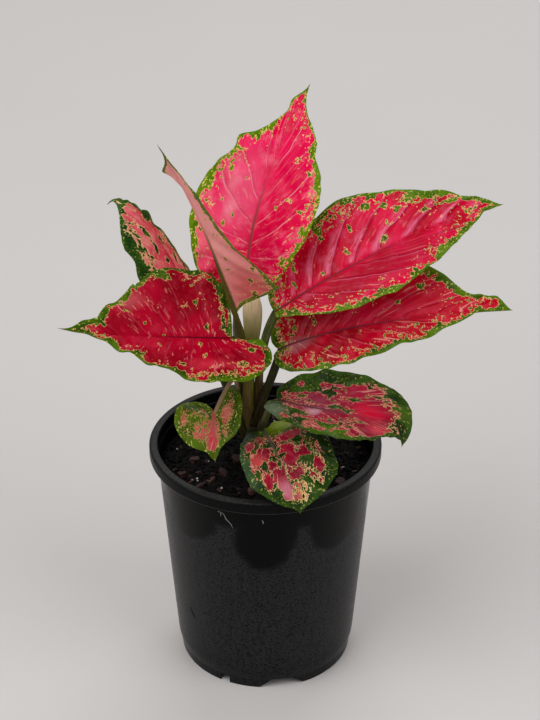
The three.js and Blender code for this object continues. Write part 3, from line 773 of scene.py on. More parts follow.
LOOKS = {
    "leaf_top": dict(
        flesh=(246, 8, 88), deep=(232, 0, 68), green=(100, 138, 8), dark=(72, 108, 4),
        pale=(255, 140, 160), fleck_tone=(250, 186, 150), rib=(168, 76, 76), rib_half=1.2, rib_end=0.55,
        mottle=0.5, lines=0.85, fleck=(222, 214, 96), specks=0.95, speck_from=0.57, outline=0.085,
        margin=3.2, uneven=1.4, tip=3, zone=11, zone_lift=0.13, freckles=1, vein_lift=0.09, sheen=0.08,
        patches=(
            (46, -33, 11, 6, 0.42), (54.5, -22, 4.5, 2, 0.42), (61.5, -30, 4.5, 6, -0.6),
            (74, -17, 4, 5, 0.4), (36, -21, 2, 2, 0.36), (29, -13, 3, 1.5, 0.44), (24, -18, 2, 2, 0.36),
            (20, -33, 3, 2, 0.3), (20, -29, 2, 2, 0.3), (33, -28, 4, 4, 0.26), (62, 29, 3.2, 3, 0.42),
            (80, 20, 3, 2.6, 0.42), (42, 25, 2.5, 3, 0.4), (47, 18, 2.2, 4, 0.36),
            (40, 10.5, 1.8, 2, 0.32), (30, 30, 4.5, 2.5, 0.36), (10, 24, 4.5, 2.5, 0.4),
            (88, 20, 8, 3.5, 0.22), (51, -11, 1.8, 1.8, 0.34), (70, 12, 4, 3, 0.18),
            (44, 14, 4, 4, 0.16), (72, -25, 6, 4, 0.3), (90, -14, 7, 4, -0.35), (54, 22, 2.5, 2, 0.3),
            (66, 22, 2.5, 2, 0.3), (4, -34, 12, 4, 0.14), (58, 30, 26, 5, 0.12), (24, -34, 16, 5, 0.1),
        ),
        washes=(
            # Painted light: the washes on the left half, below zero across, lighten its pink
            (42, -12, 34, 18, (255, 108, 146), 0.6), (16, -30, 22, 12, (255, 124, 140), 0.6),
            (52, 12, 46, 16, (224, 0, 66), 0.7), (14, 10, 18, 14, (224, 20, 80), 0.5),
            (32, -16, 9, 5, (255, 164, 176), 0.5), (46, -18, 9, 4, (255, 150, 166), 0.45),
        ),
    ),
    "leaf_new": dict(
        flesh=(222, 76, 96), deep=(204, 52, 76), green=(92, 116, 20), dark=(56, 72, 10), valley=0.45,
        outline_tone=(214, 170, 104), outline=0.09, threshold=0.82, margin=3.4, edge=0.8, uneven=0.6,
        tip=2.6, under_tone=(246, 166, 160), under_mix=0.86, under_green=0.04, ridge_tone=(112, 92, 40),
        patches=(
            (41, -8, 2, 2, 0.42), (33, -6, 1.8, 1.8, 0.38), (25, -18, 2.2, 2.4, 0.42),
            (27, -31, 5, 4, 0.34), (14, -17, 3.4, 1.8, 0.4), (21, -32, 3, 3, 0.36), (8, -14, 4, 4, 0.3),
            (58, -7, 3, 1.4, 0.3), (34, -24, 3, 1.6, 0.3), (10, -20, 2, 3, 0.3), (20, -29, 13, 7, 0.16),
            (7, -18, 8, 8, 0.12),
        ),
        washes=((30, -30, 10, 6, (196, 90, 60), 0.5), (60, -6, 30, 6, (244, 150, 146), 0.4)),
        under_washes=((14, -18, 34, 24, (200, 74, 74), 0.8),),
    ),
    "leaf_back": dict(
        flesh=(236, 100, 112), deep=(218, 64, 84), green=(52, 92, 20), dark=(24, 58, 14),
        pale=(248, 170, 158), fleck_tone=(240, 178, 140), rib_half=0.3, mottle=0.5, lines=0.2,
        valley=0.1, streaks=0.6, outline_tone=(236, 196, 140), outline=0.1, threshold=0.76, margin=6,
        blotch=0.34, amount=1.2, drawn=0.4, ragged=0.5,
        patches=(
            (40, -17, 34, 6, 0.42), (40, -10, 36, 3, 0.2), (46, -4, 12, 1.4, 0.36),
            (35, -3.5, 6, 1.6, 0.44), (56, -7, 3.5, 1.6, 0.4), (44, -10, 3, 1.4, 0.36),
            (37, 4, 6, 2.4, 0.5), (53, 4, 4, 2, 0.4), (66, -6, 5, 1.4, 0.4), (26, -2, 3, 1.4, 0.36),
            (25, 8, 5, 2.4, 0.34), (22, 16, 10, 5, 0.3),
        ),
        washes=((54, -12, 22, 3, (232, 150, 124), 0.6), (30, -14, 9, 4, (236, 140, 130), 0.6)),
    ),
    "leaf_left": dict(
        flesh=(170, 0, 36), deep=(140, 0, 22), green=(78, 108, 10), dark=(32, 60, 2),
        pale=(214, 62, 84), fleck_tone=(232, 130, 126), rib=(96, 4, 24), rib_end=0.5, lines=0.3,
        streaks=0.62, outline_tone=(222, 172, 110), margin=4.6, zone=9, freckles=0.6, sheen=0.07,
        patches=(
            (3, 28, 7, 14, 0.42), (40, 35, 7, 3, 0.34), (20.5, 20, 2, 4.5, 0.44),
            (18.5, 26, 2, 2.4, 0.34), (23, 31, 2.2, 2, 0.3), (14, 6, 1.8, 4.5, 0.38),
            (5, 9, 2, 8, 0.42), (40, 1, 1.8, 1.4, 0.4), (50, 8, 1.8, 1.4, 0.34), (74, 5, 3, 3, 0.4),
            (61, 14, 3.5, 1.4, 0.34), (19, -5, 2.2, 4, 0.4), (17, -14, 2, 4, 0.36),
            (-10, -9, 4.5, 3, 0.4), (-4, -19, 6, 4, 0.28), (42, -6, 3, 3, 0.32), (29, -19, 4.5, 2, 0.3),
            (28, 19, 2.6, 3.5, 0.3), (24, 34, 18, 4, 0.16), (2, -24, 34, 8, 0.17), (7, 20, 6, 15, 0.15),
        ),
        greens=((20, 36, 34, 11, (44, 70, 6), 0.85), (6, 16, 10, 14, (40, 66, 6), 0.7)),
        washes=(
            # The first wash is a painted greyish sheen along the upper margin
            (62, 21, 15, 7, (196, 96, 100), 0.55), (90, 1, 10, 5, (236, 150, 120), 0.7),
            (48, -5, 9, 5, (186, 24, 54), 0.5), (10, -20, 26, 5, (226, 60, 80), 0.4),
        ),
    ),
    "leaf_right_upper": dict(
        flesh=(224, 4, 62), deep=(190, 0, 36), green=(90, 124, 8), dark=(52, 86, 4),
        pale=(240, 120, 156), rib=(118, 42, 54), valley=0.6, bands=0.8, speck_from=0.57, margin=4.4,
        tip=1.8, zone=17, zone_lift=0.17, freckles=1, inner_freckles=0.3, vein_lift=0.08,
        patches=(
            (43, -29, 3.4, 4, 0.46), (44, -23, 3, 3, 0.36), (22, -16, 2, 4, 0.42),
            (17, -7, 1.6, 5.5, 0.42), (60, -20, 2.2, 5, 0.44), (53, -9, 1.8, 5.5, 0.42),
            (72, -28, 3, 3, 0.44), (82, -23, 3.5, 2.6, 0.44), (75, -5, 4, 4, 0.44),
            (80, -14, 3, 2.6, 0.4), (88, -19, 3, 3, 0.42), (97, -22, 7, 4, 0.28),
            (102, -12, 2.6, 2.4, 0.36), (116, -12, 6, 2.4, 0.34), (126, -3, 7, 2, 0.3),
            (34, -4, 2.2, 2.4, 0.44), (64, 16, 5, 2.4, 0.36), (32, 12, 4, 1.6, 0.34),
            (103, 13, 4, 2.4, 0.36), (46, -34, 14, 5, 0.2), (92, -27, 5, 2.4, -0.6),
            (52, 14, 60, 9, -0.14), (20, 22, 16, 4, -0.2),
        ),
        washes=((78, -3, 10, 5, (236, 60, 100), 0.4), (60, 10, 64, 12, (172, 0, 38), 0.85)),
    ),
    "leaf_right_lower": dict(
        flesh=(192, 0, 36), deep=(156, 0, 18), green=(86, 118, 12), dark=(36, 68, 2),
        pale=(232, 84, 110), rib=(106, 40, 54), valley=0.5, bands=0.4, streaks=0.62,
        outline_tone=(232, 178, 120), zone=17, zone_lift=0.17, freckles=1, inner_freckles=0.26,
        vein_lift=0.1,
        patches=(
            (100, -22, 8, 3, 0.36), (88, -18, 4, 3, 0.34), (60, -14, 2, 5, 0.42), (74, -10, 3, 2, 0.34),
            (40, -12, 2, 5, 0.4), (24, -9, 1.8, 5, 0.4), (12, -8, 1.8, 4, 0.36), (80, -24, 4, 3, 0.4),
            (50, 4, 3, 1.4, 0.32), (30, 10, 4, 1.6, 0.3), (84, 4, 4, 1.4, 0.3),
        ),
        washes=((8, 2, 18, 6, (160, 118, 120), 0.6), (60, -6, 36, 8, (222, 24, 66), 0.5)),
    ),
    "leaf_right_low": dict(
        flesh=(150, 20, 48), deep=(128, 6, 34), green=(48, 74, 12), dark=(22, 42, 8),
        pale=(164, 74, 88), fleck_tone=(214, 146, 128), rib=(84, 44, 46), mottle=0.3, lines=0.15,
        valley=0, streaks=0.6, specks=0.25, outline_tone=(196, 122, 100), outline=0.06, threshold=0.55,
        margin=4.6, zone=12, blotch=0.2, amount=1.15, swirl=1.3, drawn=0.4, ragged=0.55, grain=0.9,
        freckles=0.35, inner_freckles=0.4, vein_lift=0,
        patches=(
            (8, -16, 26, 11, 0.5), (34, -22, 22, 6, 0.36), (9, -13, 4.5, 3, -0.75),
            (22, -7, 9, 2.6, -0.36), (24, -15, 5.5, 2.8, -0.6), (45, -15, 7, 6, -0.5),
            (57, -17, 5, 3, -0.4), (60, -4, 14, 8, -0.55), (30, 2, 24, 4, -0.22),
            (66, 7, 10, 4.5, -0.4), (0, 8, 10, 8, 0.36), (38, 12, 8, 3.4, 0.36), (38, -2, 7, 1.6, 0.4),
            (46, -9, 6, 1.6, 0.3), (72, -10, 5, 1.4, 0.4), (16, 6, 8, 2, 0.26), (30, -10, 5, 1.6, 0.34),
            (52, 9, 6, 1.6, 0.3), (60, 10, 18, 5, -0.3), (36, 14, 12, 4, -0.2),
        ),
        greens=(
            # The first green is a painted greyish-white sheen on the lobe by the stalk
            (0, 8, 12, 7, (116, 128, 110), 0.6), (42, 14, 24, 6, (72, 104, 12), 0.8),
            (72, -10, 12, 6, (70, 92, 24), 0.7),
        ),
        washes=(
            (24, -2, 20, 9, (122, 48, 64), 0.7), (57, -4, 14, 7, (192, 0, 44), 0.95),
            (67, 6, 9, 5, (202, 58, 70), 0.7), (24, 3, 6, 3.4, (196, 152, 166), 0.65),
        ),
    ),
    "leaf_front": dict(
        flesh=(152, 14, 42), deep=(120, 6, 34), green=(46, 74, 14), dark=(18, 40, 5),
        pale=(180, 80, 86), fleck_tone=(236, 190, 140), rib=(78, 76, 62), rib_half=1.2, rib_end=0.6,
        mottle=0.5, lines=0.15, valley=0, specks=0.4, outline_tone=(218, 150, 120), outline=0.06,
        tip_rim=0.9, threshold=0.49, margin=6, zone=11, blotch=0.26, swirl=0.9, drawn=0.55, ragged=0.5,
        grain=0.85, freckles=0.35, inner_freckles=0.5, vein_lift=0, sheen=0.1,
        patches=(
            (4, -10, 14, 14, 0.4), (-4, 6, 10, 8, 0.3), (34, 18, 8, 3, -0.2), (48, 12, 8, 3, -0.24),
            (19, -12, 4, 7, -0.6), (29, -7, 5.5, 4, -0.48), (36, -7, 5, 5.5, -0.4),
            (35, -15, 4.5, 3, -0.6), (45, -19, 4.5, 3, -0.6), (45, -7, 3, 5.5, -0.34),
            (54, -17, 4.5, 2, -0.36), (26, -14, 3.4, 3, 0.5), (31, -3, 1.8, 3, 0.4),
            (12, 13, 6.5, 3.4, -0.44), (12, 6, 2.4, 3.4, -0.38), (24, 7, 5.5, 4.6, -0.46),
            (28, 13, 4.5, 4, -0.44), (35, 5, 3.4, 3, -0.4), (43, 4, 4.5, 4.2, -0.48),
            (44, 11, 5.5, 3, -0.34), (50, 3, 7, 4, -0.5), (55, -8, 9, 7, 0.04), (59, 5, 7, 2.4, -0.4),
            (60, -5, 6, 5, -0.12), (39, -12, 2, 8, 0.3), (19, 3, 3, 4, 0.3), (35, 10, 3, 3, 0.3),
            (49, -3, 2, 6, 0.24),
        ),
        greens=(
            # The first green is painted light on a lit lobe; the second is a painted bluish sheen
            (0, -12, 16, 16, (134, 158, 10), 0.95), (-4, 12, 12, 9, (70, 84, 72), 0.7),
            (30, 20, 22, 5, (58, 84, 56), 0.7), (32, -27, 24, 9, (22, 42, 8), 0.85),
        ),
        washes=(
            # The first wash is a painted greyish-mauve sheen
            (53, 3, 9, 6, (210, 130, 146), 0.75), (58, -8, 9, 8, (244, 178, 130), 0.6),
            (30, 12, 12, 6, (216, 84, 80), 0.5),
        ),
    ),
    "leaf_small": dict(
        flesh=(182, 84, 78), deep=(168, 56, 62), green=(82, 108, 16), dark=(52, 76, 8),
        pale=(196, 130, 98), fleck_tone=(204, 150, 104), rib=(180, 84, 82), rib_half=1.5, mottle=0.5,
        lines=0, valley=0, streaks=0.58, outline_tone=(176, 142, 84), outline=0.1, threshold=0.53,
        margin=4.2, zone=8, blotch=0.5, amount=0.9, ragged=0.85, grain=1.3, freckles=0.2,
        inner_freckles=1, vein_lift=0,
        patches=(
            (18, 1, 12, 4, -0.42), (4, 12, 12, 8, 0.14), (2, -7, 8, 4, -0.26), (6, 18, 5, 3, -0.2),
            (12, 9, 5, 4, -0.25), (6, -4, 4, 2, 0.3), (26, 0, 6, 5, 0.5), (12, -14, 10, 3, 0.2),
            (-6, 12, 5, 8, 0.2),
        ),
        washes=(
            (17, 1, 11, 3, (206, 44, 74), 0.8), (12, 9, 6, 5, (206, 96, 92), 0.6),
            (0, -8, 7, 3, (208, 112, 108), 0.6),
        ),
    ),
}

TIP_RIM_TONE = (240, 224, 140)


def blade_material(name, look, seed, under):
    """Green, pale-rimmed patches over pink flesh, with side veins and a midrib."""
    g = Graph(name)
    x, y, away = g.split(g.attribute("leaf_flat"))
    strip, _, share = g.split(g.attribute("leaf_run"))
    layer = 13.7 * seed
    flat = g.join(x, y, layer)
    warped = g.jostled(g.join(x, y, 0.0), flat, 0.22, 5.0)
    lines = strip + g.noise(flat, 0.07, 1) * 0.3
    line_gap = g.math("PINGPONG", lines, 0.5)
    part = g.math("FRACT", lines)
    rib_gap = g.math("ABSOLUTE", y)

    def tone(key, dimmed=1.0):
        return shade(*(c * dimmed for c in getattr(look, key)))

    def along_veins(stretch, shift):
        return g.join(strip * 12.5, y * (1 / stretch), layer + shift)

    def washed(colour, washes):
        for *place, rgb, strength in washes:
            colour = g.mix(g.spot(warped, *place, strength), colour, shade(*rgb))
        return colour

    # Where green is: noise, more of it near the margin and along the veins, and the chosen patches
    drawn_out = g.join(x * look.drawn, y, layer)
    blotches = g.noise(drawn_out, look.blotch, 3, 0.58, look.swirl)
    rag = g.noise(drawn_out, look.grain, 2, 0.6)
    inward = away * g.step(share, 0.72, 1.0, 1.0, look.tip)
    moved = inward + g.step(g.noise(flat, 0.09, 1), 0.36, 0.64, -look.uneven, look.uneven)
    dots = g.noise(g.join(x, y, layer + 41), 0.55, 1, 0.6) - 0.5
    near_edge = g.step(away, look.zone * 0.6, look.zone * 1.15, look.freckles, look.inner_freckles)
    field = (blotches * look.amount + rag * look.ragged + (0.5 - 0.5 * (look.amount + look.ragged))
             + g.step(moved, 0, look.margin, look.edge, 0) + g.step(inward, 0, 1.5, 0.3, 0)
             + g.step(away, look.margin * 0.6, look.zone, look.zone_lift, 0)
             + g.step(line_gap, 0.03, 0.14, look.vein_lift, 0) + g.step(rib_gap, 1.0, 9.0, -0.05, 0)
             + dots * near_edge)
    for patch in look.patches:
        field += g.spot(warped, *patch)
    rim_from = look.threshold - look.outline
    green_share = g.step(field, look.threshold - 0.012, look.threshold + 0.02)
    rim_share = g.step(field, rim_from - 0.02, rim_from + 0.02)

    # Flesh: two depths of red, a pale mottle along the veins, painted sheen in stripes between the veins,
    # painted shade beside them, pale flecks and vein lines
    flesh = g.mix(g.step(g.noise(flat, 0.045), 0.38, 0.62), tone("deep"), tone("flesh"))
    flesh = g.mix(g.step(g.noise(flat, 0.13, 3, 0.6), 0.48, 0.74, 0, look.mottle), flesh, tone("pale"))
    flesh = washed(flesh, look.washes)
    mottle = g.noise(along_veins(3, 5), 0.5, 3, 0.65)
    flesh = g.mix(g.step(mottle, 0.5, 0.82, 0, look.mottle), flesh, tone("pale"))
    inner = g.step(away, 1.0, 8.0) * g.step(rib_gap, 0.6, 3.0)
    # Painted sheen: pale stripes between the side veins stand for glossy highlights on the pleats
    if look.bands:
        band = (g.step(part, 0.58, 0.9, 0, look.bands) * g.step(part, 0.92, 1.0, 1, 0)
                * g.step(y, -3.0, 0.0, 1, 0) * g.step(rib_gap, 8, 26, 1.0, 0.15) * inner
                * g.step(mottle, 0.36, 0.62, 0.1, 1.0))
        flesh = g.mix(band, flesh, tone("pale"))
    # Painted shade: the flesh darkened towards deep red in the hollow on one side of each side vein
    flesh = g.mix(g.step(part, 0.0, 0.22, look.valley, 0) * inner, flesh, tone("deep", 0.72))
    fine = g.noise(along_veins(4, 9), 0.62, 2, 0.55, 0.3)
    streaks = g.step(fine, look.streaks, look.streaks + 0.06, 0, 0.75) * g.step(away, 3, 20, 1.0, 0.4)
    flesh = g.mix(streaks, flesh, tone("fleck_tone"))
    broken = g.noise(g.join(y * 0.16, strip, layer + 3), 1.0)
    vein_lines = (g.step(line_gap, 0.012, 0.045, 1, 0) * g.step(broken, 0.4, 0.56, 0.4, 1.0)
                  * inner * look.lines)
    flesh = g.mix(vein_lines, flesh, tone("pale"))

    # Green: lighter towards the very edge, with tones over it, some of them painted light and sheen, and
    # yellowish flecks
    green = g.mix(g.step(g.noise(flat, 0.12), 0.4, 0.62), tone("dark"), tone("green"))
    green = g.mix(g.step(away, 0.5, 4.0, 0.6, 0), green, tone("green"))
    green = washed(green, look.greens)
    specks = g.noise(g.join(x, y, layer + 20), 0.7, 2, 0.5, 0.3)
    specks = g.step(specks, look.speck_from, look.speck_from + 0.08, 0, look.specks)
    green = g.mix(specks, green, tone("fleck"))

    if under:
        flesh = washed(g.mix(look.under_mix, flesh, tone("under_tone")), look.under_washes)
        green = g.mix(look.under_green, green, tone("under_tone"))
    rim = g.mix(g.step(share, 0.5, 0.85, 0, look.tip_rim), tone("outline_tone"), shade(*TIP_RIM_TONE))
    colour = g.mix(green_share, g.mix(rim_share * 0.9, flesh, rim), green)
    if under:
        ridge = g.step(rib_gap, 0.8, 2.0, 0.9, 0) * g.step(share, 0.35, 0.6, 1.0, 0.2)
        colour = g.mix(ridge, colour, tone("ridge_tone"))
    else:
        rib_width = g.math("MAXIMUM", 1.15 - share, 0.25) * look.rib_half
        rib = g.step(rib_gap / rib_width, 0.5, 1.1, 0.9, 0) * g.step(share, 0.25, look.rib_end, 1.0, 0.2)
        colour = g.mix(rib, colour, tone("rib"))

    grain = g.noise(flat, 2.2, 2, 0.6)
    rough = grain * 0.16 + (0.36 if under else 0.22)
    relief = g.step(line_gap, 0.0, 0.09) * 0.5 + grain * 0.22 + g.noise(flat, 0.55) * 0.35
    return g.finish(colour, rough, g.bump(relief, 0.35, 0.0007), look.sheen, 1.4)


# Tones of the stalks: low and high up, and of the streaks on them. Brown is how much brown there is,
# and rise where the low tone gives way to the high one, as shares of the stalk.
STALK_LOOKS = {
    # leaf_top's high tone is the sheath's own cream, made lighter still as painted light against the shade
    # of the leaves above
    "leaf_top": dict(low=(122, 122, 36), high=(255, 226, 184), streak=(172, 180, 66), brown=0.1,
                     rise=(0.5, 0.84)),
    "leaf_new": dict(low=(60, 64, 20), high=(82, 76, 24), streak=(104, 98, 40)),
    "leaf_back": dict(low=(48, 58, 24), high=(44, 66, 24), streak=(90, 100, 50)),
    "leaf_left": dict(low=(118, 98, 54), high=(46, 54, 20), streak=(140, 122, 70)),
    "leaf_right_upper": dict(low=(92, 70, 42), high=(62, 74, 34), streak=(130, 112, 68)),
    "leaf_right_lower": dict(low=(50, 44, 24), high=(44, 52, 22), streak=(84, 76, 44)),
    "leaf_right_low": dict(low=(70, 70, 38), high=(104, 110, 66), streak=(150, 144, 104)),
    "leaf_front": dict(low=(52, 60, 28), high=(48, 68, 34), streak=(90, 98, 58)),
    "leaf_small": dict(low=(76, 70, 40), high=(152, 124, 94), streak=(110, 116, 54)),
}


def stalk_material(name, seed, low, high, streak, brown=0.35, rise=(0.25, 0.75)):
    """Long streaks and brown patches over a tone that changes on the way up."""
    g = Graph(name)
    distance, across, _ = g.split(g.attribute("leaf_flat"))
    _, _, share = g.split(g.attribute("leaf_run"))
    streaks = g.noise(g.join(distance * 0.05, across, 7.1 * seed), 1.4, 3, 0.6)
    broad = g.noise(g.join(distance * 0.1, across * 0.3, 3.3 * seed), 1.0)
    colour = g.mix(g.step(share, *rise), shade(*low), shade(*high))
    colour = g.mix(g.step(streaks, 0.5, 0.68, 0, 0.75), colour, shade(*streak))
    colour = g.mix(g.step(broad, 0.45, 0.75, 0, brown), colour, shade(70, 44, 30))
    return g.finish(colour, broad * 0.2 + 0.34, g.bump(streaks, 0.3, 0.0005), 0.2, 1.4)


def pot_material():
    """Black moulded plastic: free of dust and glossy above, with a speckled film of dust lower down.
    The film stops in lobes of painted dark reflection, and the rim carries painted light.
    """
    g = Graph("pot_plastic")
    place = g.place()
    x, y, z = g.split(place)
    turn = g.math("ARCTAN2", y, x)
    streaks = g.noise(g.join(turn * 60, z * 0.06, 0.0), 0.5, 3, 0.65)
    speckle = g.noise(place, 0.8, 3, 0.7)
    round_wall = g.join((turn + math.pi / 2) * 63.0, z, 0.0)
    wandering = g.jostled(round_wall, place, 0.06, 9.0)
    # Dust stays off the upper wall and off lobes reaching down from it, which are painted dark reflections
    # of the leaves
    clean_and_reflection = g.step(z, 120, 128)
    for around, reach_x, reach_y in LEAF_REFLECTION_LOBES:
        lobe = g.spot(wandering, around, LOBE_HEIGHT, reach_x, reach_y, 1.0, 0.8, 1.12)
        clean_and_reflection = g.math("MAXIMUM", clean_and_reflection, lobe)
    film = g.step(clean_and_reflection, 0.0, 1.0, 1.0, 0.06) * g.step(z, 0, 30, 0.7, 1.0)
    dust = g.step(speckle, 0.36, 0.56, 0.2, 1.0) * g.step(streaks, 0.25, 0.7, 0.7, 1.0) * film
    colour = g.mix(dust, shade(2, 2, 2), shade(44, 44, 45))
    rim = g.step(z, 138.5, 139.6)
    worn = g.step(speckle, 0.4, 0.6)
    band = g.mix(worn, shade(5, 5, 5), shade(14, 14, 14))
    # Painted light: the rim's top gets lighter greys than its front band, as the surface facing up
    lit_lip = g.mix(worn, shade(26, 26, 26), shade(44, 43, 42))
    colour = g.mix(rim, colour, g.mix(g.step(z, 145.6, 146.6), band, lit_lip))
    # Painted highlight: a light grey line along the band's lower edge
    painted_edge_highlight = g.step(z, 138.9, 139.3) * g.step(z, 139.7, 140.3, 0.8, 0)
    colour = g.mix(painted_edge_highlight, colour, shade(58, 58, 57))
    rough = dust * 0.2 + speckle * 0.1 + 0.14 + rim * 0.16
    relief = g.noise(place, 0.9, 2, 0.6) * 0.5 + streaks * 0.35
    return g.finish(colour, rough, g.bump(relief, 0.2, 0.0006), 0.5, 1.16)


def lint_material(name, tone):
    g = Graph(name)
    wisps = g.noise(g.place(), 3.0)
    colour = g.mix(wisps, shade(*tone), shade(*(c * 0.7 for c in tone)))
    return g.finish(colour, 0.8, g.bump(wisps, 0.2, 0.0002), 0.2)


def peat_material():
    g = Graph("peat")
    place = g.place()
    colour = g.mix(g.noise(place, 0.5, 4, 0.7), shade(2, 1, 1), shade(15, 10, 9))
    colour = g.mix(g.step(g.attribute("tint", "Fac"), 0.55, 1.0, 0, 0.8), colour, shade(34, 20, 16))
    grain = g.noise(place, 2.4, 3, 0.7)
    return g.finish(colour, grain * 0.3 + 0.7, g.bump(grain, 0.8, 0.0008), 0.15)


def bark_material():
    g = Graph("bark")
    fibres = g.noise(g.scaled(g.place(), (0.35, 1.2, 1.2)), 1.2, 4, 0.65)
    colour = g.mix(g.step(fibres, 0.35, 0.65), shade(24, 11, 9), shade(64, 30, 24))
    colour = g.mix(g.step(g.attribute("tint", "Fac"), 0.8, 0.98, 0, 0.6), colour, shade(92, 66, 42))
    return g.finish(colour, fibres * 0.3 + 0.55, g.bump(fibres, 0.7, 0.0008), 0.35)


def perlite_material():
    g = Graph("perlite")
    pits = g.noise(g.place(), 2.2, 3, 0.6)
    colour = g.mix(g.step(pits, 0.3, 0.6), shade(150, 142, 130), shade(222, 218, 208))
    return g.finish(colour, 0.85, g.bump(pits, 0.6, 0.0006), 0.3)


def cane_material():
    g = Graph("cane_bark")
    place = g.place()
    rings = g.noise(g.scaled(place, (0.3, 0.3, 1.6)), 0.8, 3, 0.6)
    patches = g.noise(place, 0.25, 3, 0.6)
    colour = g.mix(g.step(patches, 0.4, 0.62), shade(70, 78, 40), shade(112, 92, 58))
    colour = g.mix(g.step(rings, 0.52, 0.7, 0, 0.6), colour, shade(58, 42, 28))
    return g.finish(colour, rings * 0.2 + 0.45, g.bump(rings, 0.5, 0.0008), 0.4)


def floor_material():
    g = Graph("floor_pale")
    place = g.place()
    colour = g.mix(g.noise(place, 0.004), shade(208, 204, 201), shade(211, 207, 204))
    return g.finish(colour, 0.9, g.bump(g.noise(place, 0.6), 0.05, 0.0004), 0.2)


def wall_radius(height):
    share = (height - WALL_LOW_HEIGHT) / (POT_HEIGHT - WALL_LOW_HEIGHT)
    return WALL_LOW_RADIUS + share * (WALL_TOP_RADIUS - WALL_LOW_RADIUS)


def rounded(profile, steps=4):
    """A profile's points, each given with the radius that rounds it."""
    profile = [(np.array([r, z], float), radius) for r, z, radius in profile]
    made = [profile[0][0]]
    for (before, _), (corner, radius), (after, _) in zip(profile, profile[1:], profile[2:]):
        if radius == 0:
            made.append(corner)
            continue
        back, on = before - corner, after - corner
        reach = min(radius, 0.45 * np.linalg.norm(back), 0.45 * np.linalg.norm(on))
        start, end = corner + unit(back) * reach, corner + unit(on) * reach
        for t in np.linspace(0, 1, steps + 1):
            made.append((1 - t) ** 2 * start + 2 * t * (1 - t) * corner + t ** 2 * end)
    return made + [profile[-1][0]]


def prism(azimuth, outline, near, far):
    """A prism through the foot: an upright outline pushed out along an azimuth from the front."""
    a = math.radians(azimuth)
    out = np.array([math.sin(a), -math.cos(a), 0])
    side = np.array([math.cos(a), math.sin(a), 0])
    return tube([[out * reach + side * w + np.array([0, 0, z]) for w, z in outline]
                 for reach in (near, far)])


def make_pot(material):
    """The pot, turned from its profile, with the notches, slots and holes cut through it."""
    channel_floor = CHANNEL_HEIGHT + FLOOR
    profile = [
        (0, 0, 0), (HUB_RADIUS, 0, 0.5), (CHANNEL_INNER, CHANNEL_HEIGHT, 0.8),
        (CHANNEL_OUTER, CHANNEL_HEIGHT, 0.6), (CHANNEL_OUTER, 0, 0.3), (FOOT_RADIUS, 0, 0.4),
        (FOOT_RADIUS + 0.4, CHANNEL_HEIGHT, 0.6), (FOOT_STEP_RADIUS, CHANNEL_HEIGHT + 0.2, 0.4),
        (WALL_LOW_RADIUS, WALL_LOW_HEIGHT, 3.0), (wall_radius(LIP_BOTTOM), LIP_BOTTOM, 0.6),
        (BAND_INNER, LIP_BOTTOM, 0), (BAND_INNER, BAND_BOTTOM, 0), (RIM_RADIUS - 0.3, BAND_BOTTOM, 0.3),
        (RIM_RADIUS, BAND_BOTTOM + 0.7, 0.5), (RIM_RADIUS, POT_HEIGHT - 0.9, 0.7),
        (RIM_RADIUS - 0.9, POT_HEIGHT, 0.7), (WALL_TOP_RADIUS - 0.5, POT_HEIGHT, 0.3),
        (WALL_TOP_RADIUS - WALL, POT_HEIGHT - 0.6, 0.4), (WALL_LOW_RADIUS - WALL, WALL_LOW_HEIGHT, 2.0),
        (FOOT_STEP_RADIUS - WALL, channel_floor, 1.5), (CHANNEL_INNER - 0.5, channel_floor, 1.2),
        (HUB_RADIUS - 0.9, FLOOR, 1.0), (0, FLOOR, 0),
    ]
    shell = Shell()
    shell.add(*lathe(rounded(profile), POT_SIDES))
    pot = shell.build("fine_pot", [material])
    cutters = Shell()
    for turn in np.arange(CUTS_AROUND) * 360 / CUTS_AROUND:
        cutters.add(*prism(NOTCH_AZIMUTH + turn, NOTCH, CUT_NEAR, CUT_FAR))
        cutters.add(*prism(SLOT_AZIMUTH + turn, SLOT, CUT_NEAR, CUT_FAR))
    bottom, top = -1, channel_floor + FLOOR
    for distance, count in HOLE_RINGS:
        for i in range(count):
            angle = 2 * math.pi * (i + 0.5) / count
            drill = [(0, bottom), (HOLE_RADIUS, bottom), (HOLE_RADIUS, top), (0, top)]
            cutters.add(*lathe(drill, HOLE_SIDES, distance * math.cos(angle), distance * math.sin(angle)))
    knife = cutters.build("pot_knife", [])
    cut = pot.modifiers.new("cut", "BOOLEAN")
    cut.operation = "DIFFERENCE"
    cut.solver = "EXACT"
    cut.use_self = False
    cut.object = knife
    graph = bpy.context.evaluated_depsgraph_get()
    made = bpy.data.meshes.new_from_object(pot.evaluated_get(graph))
    pot.modifiers.clear()
    pot.data = made
    bpy.data.objects.remove(knife)
    made.polygons.foreach_set("use_smooth", [True] * len(made.polygons))
    made.set_sharp_from_angle(angle=math.radians(35))
    return pot


def make_lint(materials):
    """The few threads that cling to the front of the wall."""
    shell = Shell()
    for places, radius, kind in LINT:
        spread = np.linspace(0, 1, 4 * len(places))
        knots = np.linspace(0, 1, len(places))
        azimuth, height = (np.interp(spread, knots, line) for line in np.transpose(places))
        azimuth = np.radians(azimuth)
        outward = np.stack([np.sin(azimuth), -np.cos(azimuth), 0 * azimuth], 1)
        centre = outward * (wall_radius(height) + 0.45 * radius)[:, None]
        centre[:, 2] = height
        shell.add(*thread(centre, outward, radius, 6, 0.5), kind)
    return shell.build("pot_lint", materials)


def soil_height(x, y):
    share = np.minimum(1, np.hypot(x, y) / SOIL_EDGE_RADIUS)
    waves = np.sin(0.31 * x + 1.1) * np.cos(0.27 * y - 0.4) + 0.6 * np.sin(0.53 * y + 0.21 * x)
    return SOIL_EDGE_HEIGHT + 3.5 * (1 - share ** 2) + 0.9 * waves * (1 - share ** 6)


